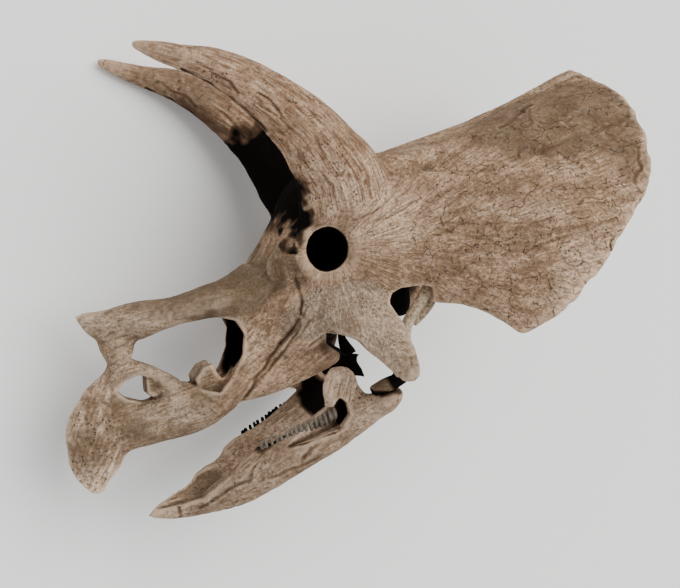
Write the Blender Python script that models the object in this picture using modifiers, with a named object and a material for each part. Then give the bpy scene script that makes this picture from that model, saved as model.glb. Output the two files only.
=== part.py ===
"""Skull of a grown Triceratops, two metres long, lying on its right side as it rests on a floor.

Every bone is blocked out as a loft or a shell in the skull's own drawing frame, in millimetres:
  back  towards the frill,  up  towards the brow horns,  left  towards the animal's left cheek.
A voxel remesh fuses the bones of the cranium, cutters open the eye sockets, the nostrils and
the cheek windows, and thin cuts then part it again into the named bones. The lower jaw is made
in the same way. Last, everything is laid on its right side, on three small flats.
"""
import math

import bmesh
import bpy
import numpy as np
from mathutils import Matrix, Vector

MM = 0.001
LEFT, RIGHT = 1, -1

# Driving dimensions, in millimetres.
GAP = 0.4                  # thin cut between two bones
JOINT_GAP = 1.0            # round the quadrates
VOXEL = 11                 # grain of the remesh that fuses the bones
SOFTENING = 12             # rounds of smoothing that melt the seams between the lofts
REGROWTH = 3               # what the smoothing takes off, given back
CRANIUM_TRIANGLES = 2220
MANDIBLE_TRIANGLES = 720
ORBIT = (-121, 146)        # centre of the eye socket: back, up
ORBIT_HALF = (62, 68)
ORBIT_FLOOR = 120          # left of the midline, where the socket ends
FRILL_THICK = 34
TEETH = 15                 # in one lower row
TOOTH = (15, 9)            # height and half width of a crown

# How it lies, in degrees and millimetres: tipped until the right brow horn, the right cheek and
# the right margin of the frill meet the floor together.
FRILL_TIPS_UP = 10.9
CROWN_TIPS_UP = 1.9
MIDLINE_HEIGHT = 419.8     # of the drawing frame's origin above the floor
PLAN_CENTRE = (45.6, 25.2) # middle of the plan outline, from the drawing frame's origin: x, y
SHARP = 35                 # degrees between faces, above which an edge is shaded as a crease

# Lofts: rows of (back, up, left, half depth in the side view, half width).
BEAK = [(-635, -385, 0, 70, 50), (-697, -372, 0, 102, 50), (-736, -405, 0, 99, 44),
        (-743, -462, 0, 90, 36), (-747, -515, 0, 76, 26), (-740, -560, 0, 48, 16),
        (-722, -592, 0, 18, 8)]
PREMAXILLA = [(-685, -385, 0, 96, 48), (-605, -388, 0, 66, 60), (-520, -358, 0, 76, 76),
              (-440, -330, 0, 74, 96), (-360, -280, 0, 66, 114)]
SNOUT_FRONT = [(-697, -90, 0, 40, 44), (-690, -150, 0, 42, 46), (-692, -230, 0, 52, 48),
               (-700, -320, 0, 80, 48)]
NARIS_BAR = [(-685, -226, 0, 36, 46), (-606, -232, 0, 28, 50), (-547, -264, 0, 34, 58),
             (-505, -322, 0, 42, 70)]
NASAL_HORN = [(-818, -62, 0, 6, 5), (-786, -75, 0, 24, 18), (-743, -91, 0, 43, 34),
              (-685, -91, 0, 46, 46)]
NASAL = [(-724, -89, 0, 38, 38), (-675, -85, 0, 50, 58), (-598, -74, 0, 54, 78),
         (-510, -50, 0, 50, 98), (-423, -22, 0, 54, 112), (-345, -6, 0, 64, 114),
         (-262, 30, 0, 76, 118)]
FACE = [(-368, -188, 0, 90, 120), (-318, -159, 0, 150, 134), (-248, -112, 0, 184, 150),
        (-166, -64, 0, 192, 174), (-98, -4, 0, 194, 190), (-46, 96, 0, 172, 175),
        (30, 140, 0, 180, 140), (125, 150, 0, 190, 125)]
NASAL_CAVITY = [(-400, -170, 0, 60, 84), (-320, -150, 0, 104, 110), (-250, -110, 0, 90, 104),
                (-205, -80, 0, 46, 60)]
ROOF = [(-246, 50, 0, 50, 106), (-190, 96, 0, 74, 140), (-130, 180, 0, 100, 166),
        (-64, 260, 0, 126, 188), (34, 312, 0, 116, 188), (112, 352, 0, 90, 168)]
BRAINCASE = [(86, 170, 0, 160, 125), (187, 140, 0, 120, 105), (268, 92, 0, 62, 64),
             (324, 62, 0, 40, 40), (351, 54, 0, 46, 46), (382, 46, 0, 24, 24)]
ORBIT_WALL = [(-214, 40, 120, 76, 46), (-165, 92, 176, 108, 54), (-112, 126, 216, 134, 54),
              (-39, 133, 248, 135, 54), (59, 134, 272, 122, 50), (147, 118, 300, 104, 42),
              (234, 102, 350, 84, 32), (322, 86, 402, 52, 18), (390, 80, 432, 26, 6)]
TEMPLE = [(-89, 228, 214, 98, 74), (20, 250, 230, 116, 66), (125, 272, 238, 106, 54),
          (225, 298, 254, 80, 34), (320, 322, 300, 40, 12)]
NAPE = [(-40, 330, 180, 84, 76), (35, 362, 168, 62, 92), (110, 385, 148, 46, 100),
        (200, 420, 112, 32, 90), (290, 455, 80, 20, 70)]
UNDER_ORBIT = [(-290, -96, 100, 86, 40), (-220, -80, 148, 94, 46), (-150, -46, 204, 92, 48),
               (-80, -22, 238, 80, 46), (0, 0, 262, 66, 42)]
MAXILLA = [(-368, -270, 74, 52, 42), (-275, -240, 100, 62, 44), (-182, -204, 122, 58, 40),
           (-100, -178, 138, 44, 34), (-45, -164, 144, 28, 22)]
JUGAL = [(-55, 74, 236, 116, 44), (-40, 2, 262, 108, 40), (0, -62, 300, 90, 32),
         (46, -120, 352, 64, 28), (70, -170, 396, 48, 26), (84, -206, 420, 34, 20),
         (88, -224, 428, 16, 10)]
BROW_HORN = [(-682, 698, 292, 6, 5), (-630, 684, 304, 24, 21), (-571, 670, 310, 34, 31),
             (-490, 653, 308, 47, 42), (-416, 628, 300, 58, 52), (-332, 584, 292, 70, 61),
             (-256, 532, 286, 83, 70), (-187, 476, 276, 96, 80), (-134, 416, 262, 110, 90),
             (-86, 355, 244, 129, 99), (-54, 270, 220, 138, 103), (-50, 189, 200, 121, 88)]
RIGHT_HORN_TIP = (-714, 708, 292, 6, 5)
PTERYGOID = [(-59, 24, 60, 60, 50), (-34, -76, 84, 50, 34), (-16, -150, 94, 46, 20),
             (16, -204, 96, 34, 14), (44, -252, 98, 12, 8)]
QUADRATE = [(216, 90, 302, 28, 24), (170, 20, 296, 18, 20), (112, -75, 288, 18, 22),
            (90, -160, 278, 28, 26), (76, -222, 268, 42, 38), (69, -258, 264, 34, 46)]

PREDENTARY = [(-596, -668, 0, 5, 5), (-553, -657, 0, 24, 18), (-500, -640, 0, 42, 32),
              (-445, -618, 0, 55, 46), (-402, -600, 0, 64, 64), (-357, -584, 0, 52, 76)]
DENTARY = [(-424, -606, 42, 52, 30), (-384, -590, 64, 58, 36), (-324, -566, 98, 56, 42),
           (-248, -518, 132, 54, 44), (-167, -466, 160, 51, 44), (-84, -411, 190, 51, 40),
           (-18, -358, 216, 50, 36), (34, -314, 238, 44, 36), (76, -294, 254, 32, 40),
           (100, -276, 264, 18, 28)]
CORONOID = [(-19, -383, 206, 70, 28), (-36, -324, 204, 68, 26), (-53, -262, 204, 54, 24),
            (-58, -225, 206, 46, 22), (-58, -200, 208, 26, 14)]
TOOTH_ROW = [(-276, -446, 112), (-168, -406, 146), (-82, -342, 172)]

# Spokes of the frill, from the lower edge of the squamosal up to the midline:
# where each leaves the skull, its belly, and where it meets the margin, as (back, up, left).
FRILL_SPOKES = [
    ((178, 8, 322), (288, -14, 394), (402, -86, 474)),
    ((160, 80, 322), (318, 36, 424), (498, -26, 508)),
    ((146, 155, 306), (385, 120, 436), (596, 76, 522)),
    ((144, 227, 276), (434, 225, 418), (720, 229, 490)),
    ((138, 298, 226), (463, 335, 360), (826, 362, 418)),
    ((128, 355, 168), (473, 435, 278), (862, 490, 330)),
    ((117, 397, 100), (464, 516, 178), (838, 630, 204)),
    ((106, 415, 0), (448, 546, 0), (775, 718, 0)),
]

# Cutters: outlines in the side view as (back, up).
NARIS = [(-652, -187), (-630, -141), (-582, -108), (-503, -84), (-405, -65), (-355, -71),
         (-330, -112), (-334, -174), (-358, -233), (-394, -287), (-442, -280), (-503, -254),
         (-581, -216)]
SMALL_OPENING = [(-692, -285), (-670, -257), (-627, -238), (-589, -245), (-568, -280),
                 (-577, -310), (-612, -320), (-660, -308)]
CHEEK_WINDOW = [(54, -8), (66, 22), (90, 38), (172, 42), (205, 10), (190, -90), (110, -90),
                (82, -54)]

# How each bone is cut out of the fused skull: its outline in the side view, how far left of the
# midline the cut runs, and whether the bone has a twin on the right. The cuts run in this order,
# so an outline may overlap the ones before it.
CRANIUM_BONES = [
    ("brow_horn", [(-860, 210), (-230, 215), (-128, 236), (-3, 298), (83, 377), (52, 480),
                   (-205, 880), (-860, 870)], (70, 500), True),
    ("jugal", [(-236, -40), (-150, 34), (-56, 56), (49, 44), (58, -20), (130, -40), (165, -300),
               (-60, -300), (-110, -130), (-240, -110)], (180, 600), True),
    ("rostral", [(-880, -200), (-724, -237), (-683, -327), (-638, -500), (-680, -700),
                 (-880, -700)], (-200, 200), False),
    ("nasal_horn", [(-880, 0), (-758, 0), (-729, -59), (-747, -150), (-880, -150)],
     (-200, 200), False),
    ("premaxilla", [(-751, -127), (-675, -100), (-579, -147), (-424, -187), (-399, -286),
                    (-411, -485), (-670, -680), (-750, -225)], (0.2, 300), True),
    ("nasal", [(-783, 98), (-781, -148), (-587, -180), (-392, -190), (-330, -60), (-270, -10),
               (-245, 180), (-301, 297)], (-300, 300), False),
    ("maxilla", [(-424, -168), (-330, -60), (-250, -60), (-200, -30), (-120, -60), (20, -60),
                 (20, -330), (-421, -445)], (0.2, 400), True),
    ("squamosal", [(111, -109), (121, 84), (104, 209), (178, 315), (398, 452), (965, 603),
                   (997, -270), (300, -270)], (150, 700), True),
    ("parietal", [(98, 558), (113, 330), (234, 251), (1117, 102), (1088, 911), (579, 901)],
     (-600, 600), False),
    ("braincase", [(64, -200), (56, 200), (153, 300), (495, 302), (508, -203)],
     (-158, 158), False),
    ("postorbital", [(-121, -60), (-121, 420), (220, 420), (220, -60)], (140, 500), True),
    ("lacrimal", [(-350, -80), (-350, 340), (-121, 340), (-121, -80)], (100, 500), True),
]
MANDIBLE_BONES = [
    ("predentary", [(-680, -557), (-439, -500), (-417, -561), (-455, -621), (-425, -722),
                    (-680, -759)], (-300, 300), False),
    ("coronoid", [(-190, -140), (44, -140), (27, -262), (-2, -305), (-100, -305),
                  (-150, -270)], (20, 400), True),
    ("surangular", [(24, -190), (20, -285), (-12, -355), (10, -490), (300, -490), (300, -190)],
     (20, 400), True),
    ("dentary", [(-680, -100), (200, -100), (200, -890), (-680, -890)], (0.2, 400), True),
]


def clear_scene():
    for old in list(bpy.data.objects):
        bpy.data.objects.remove(old, do_unlink=True)


def new_collection(name):
    made = bpy.data.collections.new(name)
    bpy.context.scene.collection.children.link(made)
    return made


def place(back, up, left):
    """A point of the drawing frame in metres: x runs back, y to the animal's right, z up."""
    return Vector((back, -left, up)) * MM


def spline(rows, steps):
    """A Catmull-Rom curve through rows of numbers, with `steps` samples from row to row."""
    rows = np.array(rows, float)
    ends = np.vstack([2 * rows[0] - rows[1], rows, 2 * rows[-1] - rows[-2]])
    made = []
    for a, b, c, d in zip(ends, ends[1:], ends[2:], ends[3:]):
        for t in np.arange(steps) / steps:
            made.append(0.5 * (2 * b + (c - a) * t + (2 * a - 5 * b + 4 * c - d) * t**2
                               + (3 * b - a - 3 * c + d) * t**3))
    return np.array(made + [rows[-1]])


def add_loft(bm, stations, side=LEFT, steps=3, sides=18, squareness=2.0):
    """A closed loft with elliptic or squarer rings; side=RIGHT mirrors it across the midline."""
    rows = spline(stations, steps)
    centres = [place(row[0], row[1], side * row[2]) for row in rows]
    rings = []
    for i, row in enumerate(rows):
        along = (centres[min(i + 1, len(rows) - 1)] - centres[max(i - 1, 0)]).normalized()
        across = Vector((0, -1, 0))
        across = (across - along * across.dot(along)).normalized()
        deep = along.cross(across)
        depth, width = max(row[3], 2) * MM, max(row[4], 2) * MM
        ring = []
        for k in range(sides):
            turn = math.tau * k / sides
            sideways, upright = math.cos(turn), math.sin(turn)
            sideways = math.copysign(abs(sideways) ** (2 / squareness), sideways)
            upright = math.copysign(abs(upright) ** (2 / squareness), upright)
            rim = across * sideways * width + deep * upright * depth
            ring.append(bm.verts.new(centres[i] + rim))
        rings.append(ring)
    for one, two in zip(rings, rings[1:]):
        for k in range(sides):
            bm.faces.new((one[k], one[(k + 1) % sides], two[(k + 1) % sides], two[k]))
    bm.faces.new(rings[0][::-1])
    bm.faces.new(rings[-1])


def object_from(bm, name, home):
    bmesh.ops.recalc_face_normals(bm, faces=bm.faces)
    mesh = bpy.data.meshes.new(name)
    bm.to_mesh(mesh)
    bm.free()
    made = bpy.data.objects.new(name, mesh)
    home.objects.link(made)
    return made


def settle(obj):
    """Replaces an object's modifiers by their result."""
    graph = bpy.context.evaluated_depsgraph_get()
    mesh = bpy.data.meshes.new_from_object(obj.evaluated_get(graph))
    obj.modifiers.clear()
    obj.data = mesh


def boolean(obj, other, operation):
    cut = obj.modifiers.new(operation, "BOOLEAN")
    cut.operation = operation
    cut.solver = "MANIFOLD"
    cut.object = other
    settle(obj)


def frill_shell(home):
    """The frill as a grid of spokes on both sides of the midline, thickened by Solidify."""
    spokes = [spline(spoke, 4) for spoke in FRILL_SPOKES]
    grid = spline([spoke.ravel() for spoke in spokes], 2).reshape(-1, *spokes[0].shape)
    mirrored = grid[-2::-1] * (1, 1, -1)
    grid = np.concatenate([grid, mirrored])
    bm = bmesh.new()
    verts = [[bm.verts.new(place(*point)) for point in spoke] for spoke in grid]
    for one, two in zip(verts, verts[1:]):
        for k in range(len(one) - 1):
            bm.faces.new((one[k], one[k + 1], two[k + 1], two[k]))
    shell = object_from(bm, "frill_shell", home)
    thick = shell.modifiers.new("thickness", "SOLIDIFY")
    thick.thickness = FRILL_THICK * MM
    thick.offset = 0
    settle(shell)
    return shell


def prism(name, outline, left_from, left_to, home, grow=0.0):
    """A cutter: an outline of (back, up) carried from one distance left of the midline to another."""
    points = np.array(outline, float)
    area = np.sum(points[:, 0] * np.roll(points[:, 1], -1) - np.roll(points[:, 0], -1) * points[:, 1])
    before = points - np.roll(points, 1, axis=0)
    after = np.roll(points, -1, axis=0) - points
    normal = np.stack([before[:, 1], -before[:, 0]], 1) / np.linalg.norm(before, axis=1)[:, None]
    following = np.stack([after[:, 1], -after[:, 0]], 1) / np.linalg.norm(after, axis=1)[:, None]
    both = normal + following
    mitre = both / np.maximum((both * normal).sum(1), 0.2)[:, None]
    points += mitre * grow * math.copysign(1, area)
    low, high = sorted((left_from, left_to))
    bm = bmesh.new()
    near = [bm.verts.new(place(b, u, low - grow)) for b, u in points]
    far = [bm.verts.new(place(b, u, high + grow)) for b, u in points]
    for k in range(len(near)):
        j = (k + 1) % len(near)
        bm.faces.new((near[k], near[j], far[j], far[k]))
    bm.faces.new(near[::-1])
    bm.faces.new(far)
    return object_from(bm, name, home)


def fused(name, bm, extras, triangles, home):
    """Overlapping closed shells melted into one skin, smoothed, and thinned to a triangle count."""
    body = object_from(bm, name, home)
    for extra in extras:
        joined = bmesh.new()
        joined.from_mesh(body.data)
        joined.from_mesh(extra.data)
        joined.to_mesh(body.data)
        joined.free()
    melt = body.modifiers.new("melt", "REMESH")
    melt.mode = "VOXEL"
    melt.voxel_size = VOXEL * MM
    soften = body.modifiers.new("soften", "SMOOTH")
    soften.factor = 0.5
    soften.iterations = SOFTENING
    regrow = body.modifiers.new("regrow", "DISPLACE")
    regrow.mid_level = 0
    regrow.strength = REGROWTH * MM
    settle(body)
    thin = body.modifiers.new("thin", "DECIMATE")
    thin.ratio = triangles / (2 * len(body.data.polygons))
    settle(body)
    return body


def add_orbit_rim(bm, side, turns=20, sides=8):
    """The raised rim round an eye socket."""
    rings = []
    for i in range(turns):
        turn = math.tau * i / turns
        back = ORBIT[0] + math.cos(turn) * (ORBIT_HALF[0] + 16)
        up = ORBIT[1] + math.sin(turn) * (ORBIT_HALF[1] + 16)
        left = 270 + 0.35 * (back - ORBIT[0])
        outward = Vector((math.cos(turn), 0, math.sin(turn)))
        ring = []
        for k in range(sides):
            tube = math.tau * k / sides
            point = place(back, up, side * left) + outward * math.cos(tube) * 18 * MM
            ring.append(bm.verts.new(point + Vector((0, 1, 0)) * math.sin(tube) * 18 * MM))
        rings.append(ring)
    for i in range(turns):
        one, two = rings[i], rings[(i + 1) % turns]
        for k in range(sides):
            bm.faces.new((one[k], one[(k + 1) % sides], two[(k + 1) % sides], two[k]))


def build_cranium(home):
    bm = bmesh.new()
    for stations in (BEAK, PREMAXILLA, SNOUT_FRONT, NARIS_BAR, NASAL_HORN, NASAL, ROOF, BRAINCASE):
        add_loft(bm, stations)
    add_loft(bm, FACE, squareness=2.6)
    for side in (LEFT, RIGHT):
        horn = BROW_HORN if side == LEFT else [RIGHT_HORN_TIP] + BROW_HORN[1:]
        for stations in (ORBIT_WALL, TEMPLE, NAPE, UNDER_ORBIT, MAXILLA, JUGAL, horn, PTERYGOID):
            add_loft(bm, stations, side)
        add_orbit_rim(bm, side)
    return fused("cranium", bm, [frill_shell(home)], CRANIUM_TRIANGLES, home)


def add_quadrates(home):
    """The struts that carry the jaw joints: plain lofts, seen through the cheek windows."""
    made = {}
    for side, name in ((LEFT, "quadrate_left"), (RIGHT, "quadrate_right")):
        bm = bmesh.new()
        add_loft(bm, QUADRATE, side, steps=2, sides=10)
        made[name] = object_from(bm, name, home)
    return made


def build_mandible(home):
    bm = bmesh.new()
    add_loft(bm, PREDENTARY)
    for side in (LEFT, RIGHT):
        for stations in (DENTARY, CORONOID):
            add_loft(bm, stations, side)
    return fused("mandible", bm, [], MANDIBLE_TRIANGLES, home)


def open_cranium(cranium, home):
    """Cuts the nostrils right through the snout, and the sockets and windows into the cheeks."""
    hollow = bmesh.new()
    add_loft(hollow, NASAL_CAVITY)
    openings = [object_from(hollow, "cavity_cutter", home),
                prism("naris_cutter", NARIS, -400, 400, home),
                prism("small_opening_cutter", SMALL_OPENING, -400, 400, home)]
    turns = np.arange(20) * math.tau / 20
    socket = [(ORBIT[0] + ORBIT_HALF[0] * math.cos(t), ORBIT[1] + ORBIT_HALF[1] * math.sin(t))
              for t in turns]
    for side in (LEFT, RIGHT):
        openings.append(prism("socket_cutter", socket, side * ORBIT_FLOOR, side * 500, home))
        openings.append(prism("window_cutter", CHEEK_WINDOW, side * 200, side * 500, home))
    for opening in openings:
        boolean(cranium, opening, "DIFFERENCE")


def keep_largest(obj):
    """Drops the crumbs a cut leaves, so that the bone is one body."""
    bm = bmesh.new()
    bm.from_mesh(obj.data)
    left = set(bm.verts)
    bodies = []
    while left:
        body, edge_of_body = set(), [left.pop()]
        while edge_of_body:
            vert = edge_of_body.pop()
            body.add(vert)
            for edge in vert.link_edges:
                other = edge.other_vert(vert)
                if other in left:
                    left.discard(other)
                    edge_of_body.append(other)
        bodies.append(body)
    bodies.sort(key=len)
    for body in bodies[:-1]:
        bmesh.ops.delete(bm, geom=list(body), context="VERTS")
    bm.to_mesh(obj.data)
    bm.free()


def part_bones(body, bones, remainder, home, cutter_home):
    """Cuts each bone out of the fused body, leaving a thin gap round it; the rest gets a name."""
    made = {}
    for name, outline, (inner, outer), paired in bones:
        for side, suffix in ((LEFT, "_left"), (RIGHT, "_right")) if paired else ((LEFT, ""),):
            inside = prism("inside", outline, side * inner, side * outer, cutter_home)
            around = prism("around", outline, side * inner, side * outer, cutter_home, grow=GAP)
            bone = bpy.data.objects.new(name + suffix, body.data.copy())
            home.objects.link(bone)
            boolean(bone, inside, "INTERSECT")
            boolean(body, around, "DIFFERENCE")
            keep_largest(bone)
            made[bone.name] = bone
    if remainder:
        bone = bpy.data.objects.new(remainder, body.data.copy())
        home.objects.link(bone)
        keep_largest(bone)
        made[remainder] = bone
    return made


def clear_round(body, bone, home):
    """Takes a slightly swollen copy of a bone out of a body, so that the two only nearly touch."""
    swollen = bpy.data.objects.new("swollen", bone.data.copy())
    home.objects.link(swollen)
    swell = swollen.modifiers.new("swell", "DISPLACE")
    swell.mid_level = 0
    swell.strength = JOINT_GAP * MM
    settle(swollen)
    boolean(body, swollen, "DIFFERENCE")


def add_teeth(dentary, side, home):
    """A row of low crowns as one comb, joined to the jaw it grows from."""
    row = spline(TOOTH_ROW, TEETH)
    row = row[np.linspace(0, len(row) - 1, 2 * TEETH + 1).round().astype(int)]
    comb = [(*point, TOOTH[0] if i % 2 else TOOTH[0] / 3, TOOTH[1]) for i, point in enumerate(row)]
    bm = bmesh.new()
    add_loft(bm, comb, side, steps=1, sides=6)
    boolean(dentary, object_from(bm, "tooth_comb", home), "UNION")
    keep_largest(dentary)


def bone_material(name, colour, roughness):
    made = bpy.data.materials.new(name)
    made.use_nodes = True
    shader = made.node_tree.nodes["Principled BSDF"]
    shader.inputs["Base Color"].default_value = (*colour, 1)
    shader.inputs["Roughness"].default_value = roughness
    shader.inputs["Metallic"].default_value = 0
    return made


def lay_down(bones, home):
    """Tips the skull onto its right side and trims a small flat wherever it meets the floor."""
    lie = (Matrix.Rotation(math.radians(-FRILL_TIPS_UP), 4, "Y")
           @ Matrix.Rotation(math.radians(CROWN_TIPS_UP - 90), 4, "X"))
    pose = bpy.data.objects.new("rest_pose", None)
    where = (-PLAN_CENTRE[0], -PLAN_CENTRE[1], MIDLINE_HEIGHT)
    pose.matrix_world = Matrix.Translation(Vector(where) * MM) @ lie
    skull.objects.link(pose)
    bm = bmesh.new()
    bmesh.ops.create_cube(bm, size=4)
    floor = object_from(bm, "floor_cutter", home)
    floor.location.z = -2
    for bone in bones.values():
        bone.parent = pose
    bpy.context.view_layer.update()
    for name in ("brow_horn_right", "jugal_right", "squamosal_right"):
        boolean(bones[name], floor, "DIFFERENCE")


clear_scene()
skull = new_collection("triceratops_skull")
cutters = new_collection("cutters")
cutters.hide_render = True
cranium = build_cranium(cutters)
mandible = build_mandible(cutters)
open_cranium(cranium, cutters)
bones = add_quadrates(skull)
for quadrate in list(bones.values()):
    clear_round(cranium, quadrate, cutters)
    clear_round(mandible, quadrate, cutters)
bones.update(part_bones(cranium, CRANIUM_BONES, "frontal", skull, cutters))
bones.update(part_bones(mandible, MANDIBLE_BONES, None, skull, cutters))
add_teeth(bones["dentary_left"], LEFT, cutters)
add_teeth(bones["dentary_right"], RIGHT, cutters)

old_bone = bone_material("old_bone", (0.46, 0.35, 0.25), 0.8)
pale_bone = bone_material("pale_bone", (0.66, 0.56, 0.42), 0.75)
for name, bone in bones.items():
    bone.data.materials.clear()
    bone.data.materials.append(pale_bone if name.startswith("quadrate") else old_bone)
    bone.data.shade_smooth()
    bone.data.set_sharp_from_angle(angle=math.radians(SHARP))
lay_down(bones, cutters)
for obj in cutters.objects:
    obj.display_type = "WIRE"
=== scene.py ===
# %% [markdown]
# # A Triceratops skull, lying on its side
#
# The real object is a fossil: bone turned to stone, tan and brown, with fine fibres, dark cracks and
# open sutures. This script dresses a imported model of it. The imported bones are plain; here the same
# shapes are rebuilt finer, carved, and given materials made of Blender's shader nodes.
#
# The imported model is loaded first, because it is the frame that every piece must fit.

# %% Load the frame
import math

import bmesh
import bpy
import numpy as np
from mathutils import Matrix, Vector
from mathutils.kdtree import KDTree


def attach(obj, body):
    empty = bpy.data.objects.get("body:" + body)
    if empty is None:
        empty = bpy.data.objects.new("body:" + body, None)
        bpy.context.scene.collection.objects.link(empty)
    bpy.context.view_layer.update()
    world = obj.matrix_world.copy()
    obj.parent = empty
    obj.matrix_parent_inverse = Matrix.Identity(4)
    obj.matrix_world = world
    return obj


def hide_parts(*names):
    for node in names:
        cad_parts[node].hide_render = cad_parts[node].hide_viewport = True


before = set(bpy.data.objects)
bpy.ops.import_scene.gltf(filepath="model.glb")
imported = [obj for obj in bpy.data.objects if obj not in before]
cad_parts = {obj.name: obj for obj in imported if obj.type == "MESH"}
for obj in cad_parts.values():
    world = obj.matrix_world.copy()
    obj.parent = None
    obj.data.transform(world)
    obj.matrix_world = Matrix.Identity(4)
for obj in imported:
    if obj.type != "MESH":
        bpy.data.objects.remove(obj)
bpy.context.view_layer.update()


# %% [markdown]
# ## The drawing frame
#
# A skull is easiest to describe upright, as a palaeontologist draws it: so far back towards the frill,
# so far up towards the horns, so far left of the midline. The numbers are millimetres. One matrix, the
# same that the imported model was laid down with, then carries each finished piece to the floor.

# %% The drawing frame and the way the skull lies
MM = 0.001
LEFT, RIGHT = 1, -1
FRILL_TIPS_UP = 10.9
CROWN_TIPS_UP = 1.9
MIDLINE_HEIGHT = 419.8
PLAN_CENTRE = (45.6, 25.2)


def place(back, up, left):
    """A point of the drawing frame in metres: x runs back, y to the animal's right, z up."""
    return Vector((back, -left, up)) * MM


LAY_DOWN = (Matrix.Translation(Vector((-PLAN_CENTRE[0], -PLAN_CENTRE[1], MIDLINE_HEIGHT)) * MM)
            @ Matrix.Rotation(math.radians(-FRILL_TIPS_UP), 4, "Y")
            @ Matrix.Rotation(math.radians(CROWN_TIPS_UP - 90), 4, "X"))
print("the eye looks along", tuple(round(c, 2) for c in LAY_DOWN.to_3x3() @ Vector((0, -1, 0))))

# %% [markdown]
# ## Camera
#
# The camera stands off the skull's left side, a little towards the beak, 4.2 m away. Its place is
# worked out in the drawing frame and carried over by the same matrix as the bones, so it looks down on
# the lying skull.

# %% Camera
CAMERA_YAW = math.radians(17)       # towards the beak
CAMERA_ROLL = math.radians(3.5)     # the far side of the skull shows higher
CAMERA_DISTANCE = 4.2
PIXEL = 0.0031                      # metres per pixel at the midline
FRAME_WIDTH = 680

view = Vector((-math.sin(CAMERA_YAW), -math.cos(CAMERA_YAW), 0))
right = Vector((math.cos(CAMERA_YAW), -math.sin(CAMERA_YAW), 0))
roll = Matrix.Rotation(-CAMERA_ROLL, 3, "X")
view, right = roll @ view, roll @ right
upward = view.cross(right)

camera_data = bpy.data.cameras.new("camera")
camera = bpy.data.objects.new("camera", camera_data)
bpy.context.scene.collection.objects.link(camera)
turn = Matrix((right, upward, view)).transposed().to_4x4()
camera.matrix_world = LAY_DOWN @ Matrix.Translation(view * CAMERA_DISTANCE) @ turn
camera_data.sensor_width = 36
half_view = FRAME_WIDTH / 2 * PIXEL / CAMERA_DISTANCE
camera_data.lens = camera_data.sensor_width / 2 / half_view
bpy.context.scene.camera = camera
print("camera at", tuple(round(c, 2) for c in camera.location), "lens", round(camera_data.lens, 1))

# %% [markdown]
# ## Floor and light
#
# A fossil is shown on a plain pale ground under one broad soft light, so that its own relief does the
# talking. A sun lamp with a very wide angle lights the whole floor evenly and gives shadows with no
# edge; a pale sky fills them. The floor is staging, not part of the object.

# %% Floor and light
def stage_floor(half, colour, roughness):
    """A plain square floor at height 0, which is staging and no part of the object."""
    mesh = bpy.data.meshes.new("floor")
    corners = [(-half, -half, 0), (half, -half, 0), (half, half, 0), (-half, half, 0)]
    mesh.from_pydata(corners, [], [(0, 1, 2, 3)])
    plane = bpy.data.objects.new("floor", mesh)
    bpy.context.scene.collection.objects.link(plane)
    paper = bpy.data.materials.new("floor")
    paper.use_nodes = True
    shader = paper.node_tree.nodes["Principled BSDF"]
    shader.inputs["Base Color"].default_value = (*colour, 1)
    shader.inputs["Roughness"].default_value = roughness
    mesh.materials.append(paper)


def add_sun(shines_from, angle, strength, colour):
    """A sun lamp; the wider its angle in degrees, the softer its shadows."""
    data = bpy.data.lights.new("soft_sun", "SUN")
    data.angle = math.radians(angle)
    data.energy = strength
    data.color = colour
    sun = bpy.data.objects.new("soft_sun", data)
    bpy.context.scene.collection.objects.link(sun)
    sun.rotation_euler = Vector(shines_from).to_track_quat("Z", "Y").to_euler()


stage_floor(half=14, colour=(0.90, 0.90, 0.885), roughness=0.9)
add_sun(shines_from=(0.50, 0.56, 1.0), angle=64, strength=3.5, colour=(1.0, 0.985, 0.96))
world = bpy.context.scene.world or bpy.data.worlds.new("studio")
bpy.context.scene.world = world
world.use_nodes = True
sky = world.node_tree.nodes["Background"]
sky.inputs["Color"].default_value = (0.95, 0.97, 1.0, 1)
sky.inputs["Strength"].default_value = 0.86

# %% [markdown]
# ## Blocking out the bones
#
# A bone is a long body with a changing section, so a loft suits it: a row of stations, each with its
# place and its half depth and half width. A Catmull-Rom curve runs through the stations, which keeps
# the tables short and the shapes smooth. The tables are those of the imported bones, with a few numbers
# refined and some small forms added.

# %% Stations of the cranium: back, up, left, half depth, half width
BEAK = [(-635, -385, 0, 70, 50), (-697, -372, 0, 102, 50), (-736, -405, 0, 99, 44),
        (-743, -462, 0, 90, 36), (-747, -515, 0, 76, 26), (-740, -560, 0, 48, 16),
        (-722, -592, 0, 18, 8)]
PREMAXILLA = [(-685, -385, 0, 96, 48), (-605, -388, 0, 66, 60), (-520, -358, 0, 76, 76),
              (-440, -330, 0, 74, 96), (-360, -280, 0, 66, 114)]
SNOUT_FRONT = [(-697, -90, 0, 46, 44), (-690, -150, 0, 52, 46), (-676, -222, 0, 38, 46),
               (-700, -320, 0, 94, 48)]
NARIS_BAR = [(-685, -226, 0, 36, 46), (-606, -232, 0, 28, 50), (-547, -264, 0, 34, 58),
             (-505, -322, 0, 42, 70)]
NASAL_HORN = [(-818, -62, 0, 6, 5), (-786, -75, 0, 24, 18), (-743, -91, 0, 43, 34),
              (-685, -91, 0, 46, 46)]
NASAL = [(-724, -89, 0, 38, 38), (-675, -85, 0, 50, 58), (-598, -74, 0, 54, 78),
         (-510, -54, 0, 46, 98), (-423, -28, 0, 50, 112), (-345, -10, 0, 60, 114),
         (-262, 30, 0, 76, 118)]
FACE = [(-368, -188, 0, 90, 120), (-318, -159, 0, 150, 134), (-248, -112, 0, 184, 150),
        (-166, -64, 0, 192, 174), (-98, -4, 0, 194, 190), (-46, 96, 0, 172, 175),
        (30, 140, 0, 180, 140), (125, 150, 0, 190, 125)]
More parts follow.
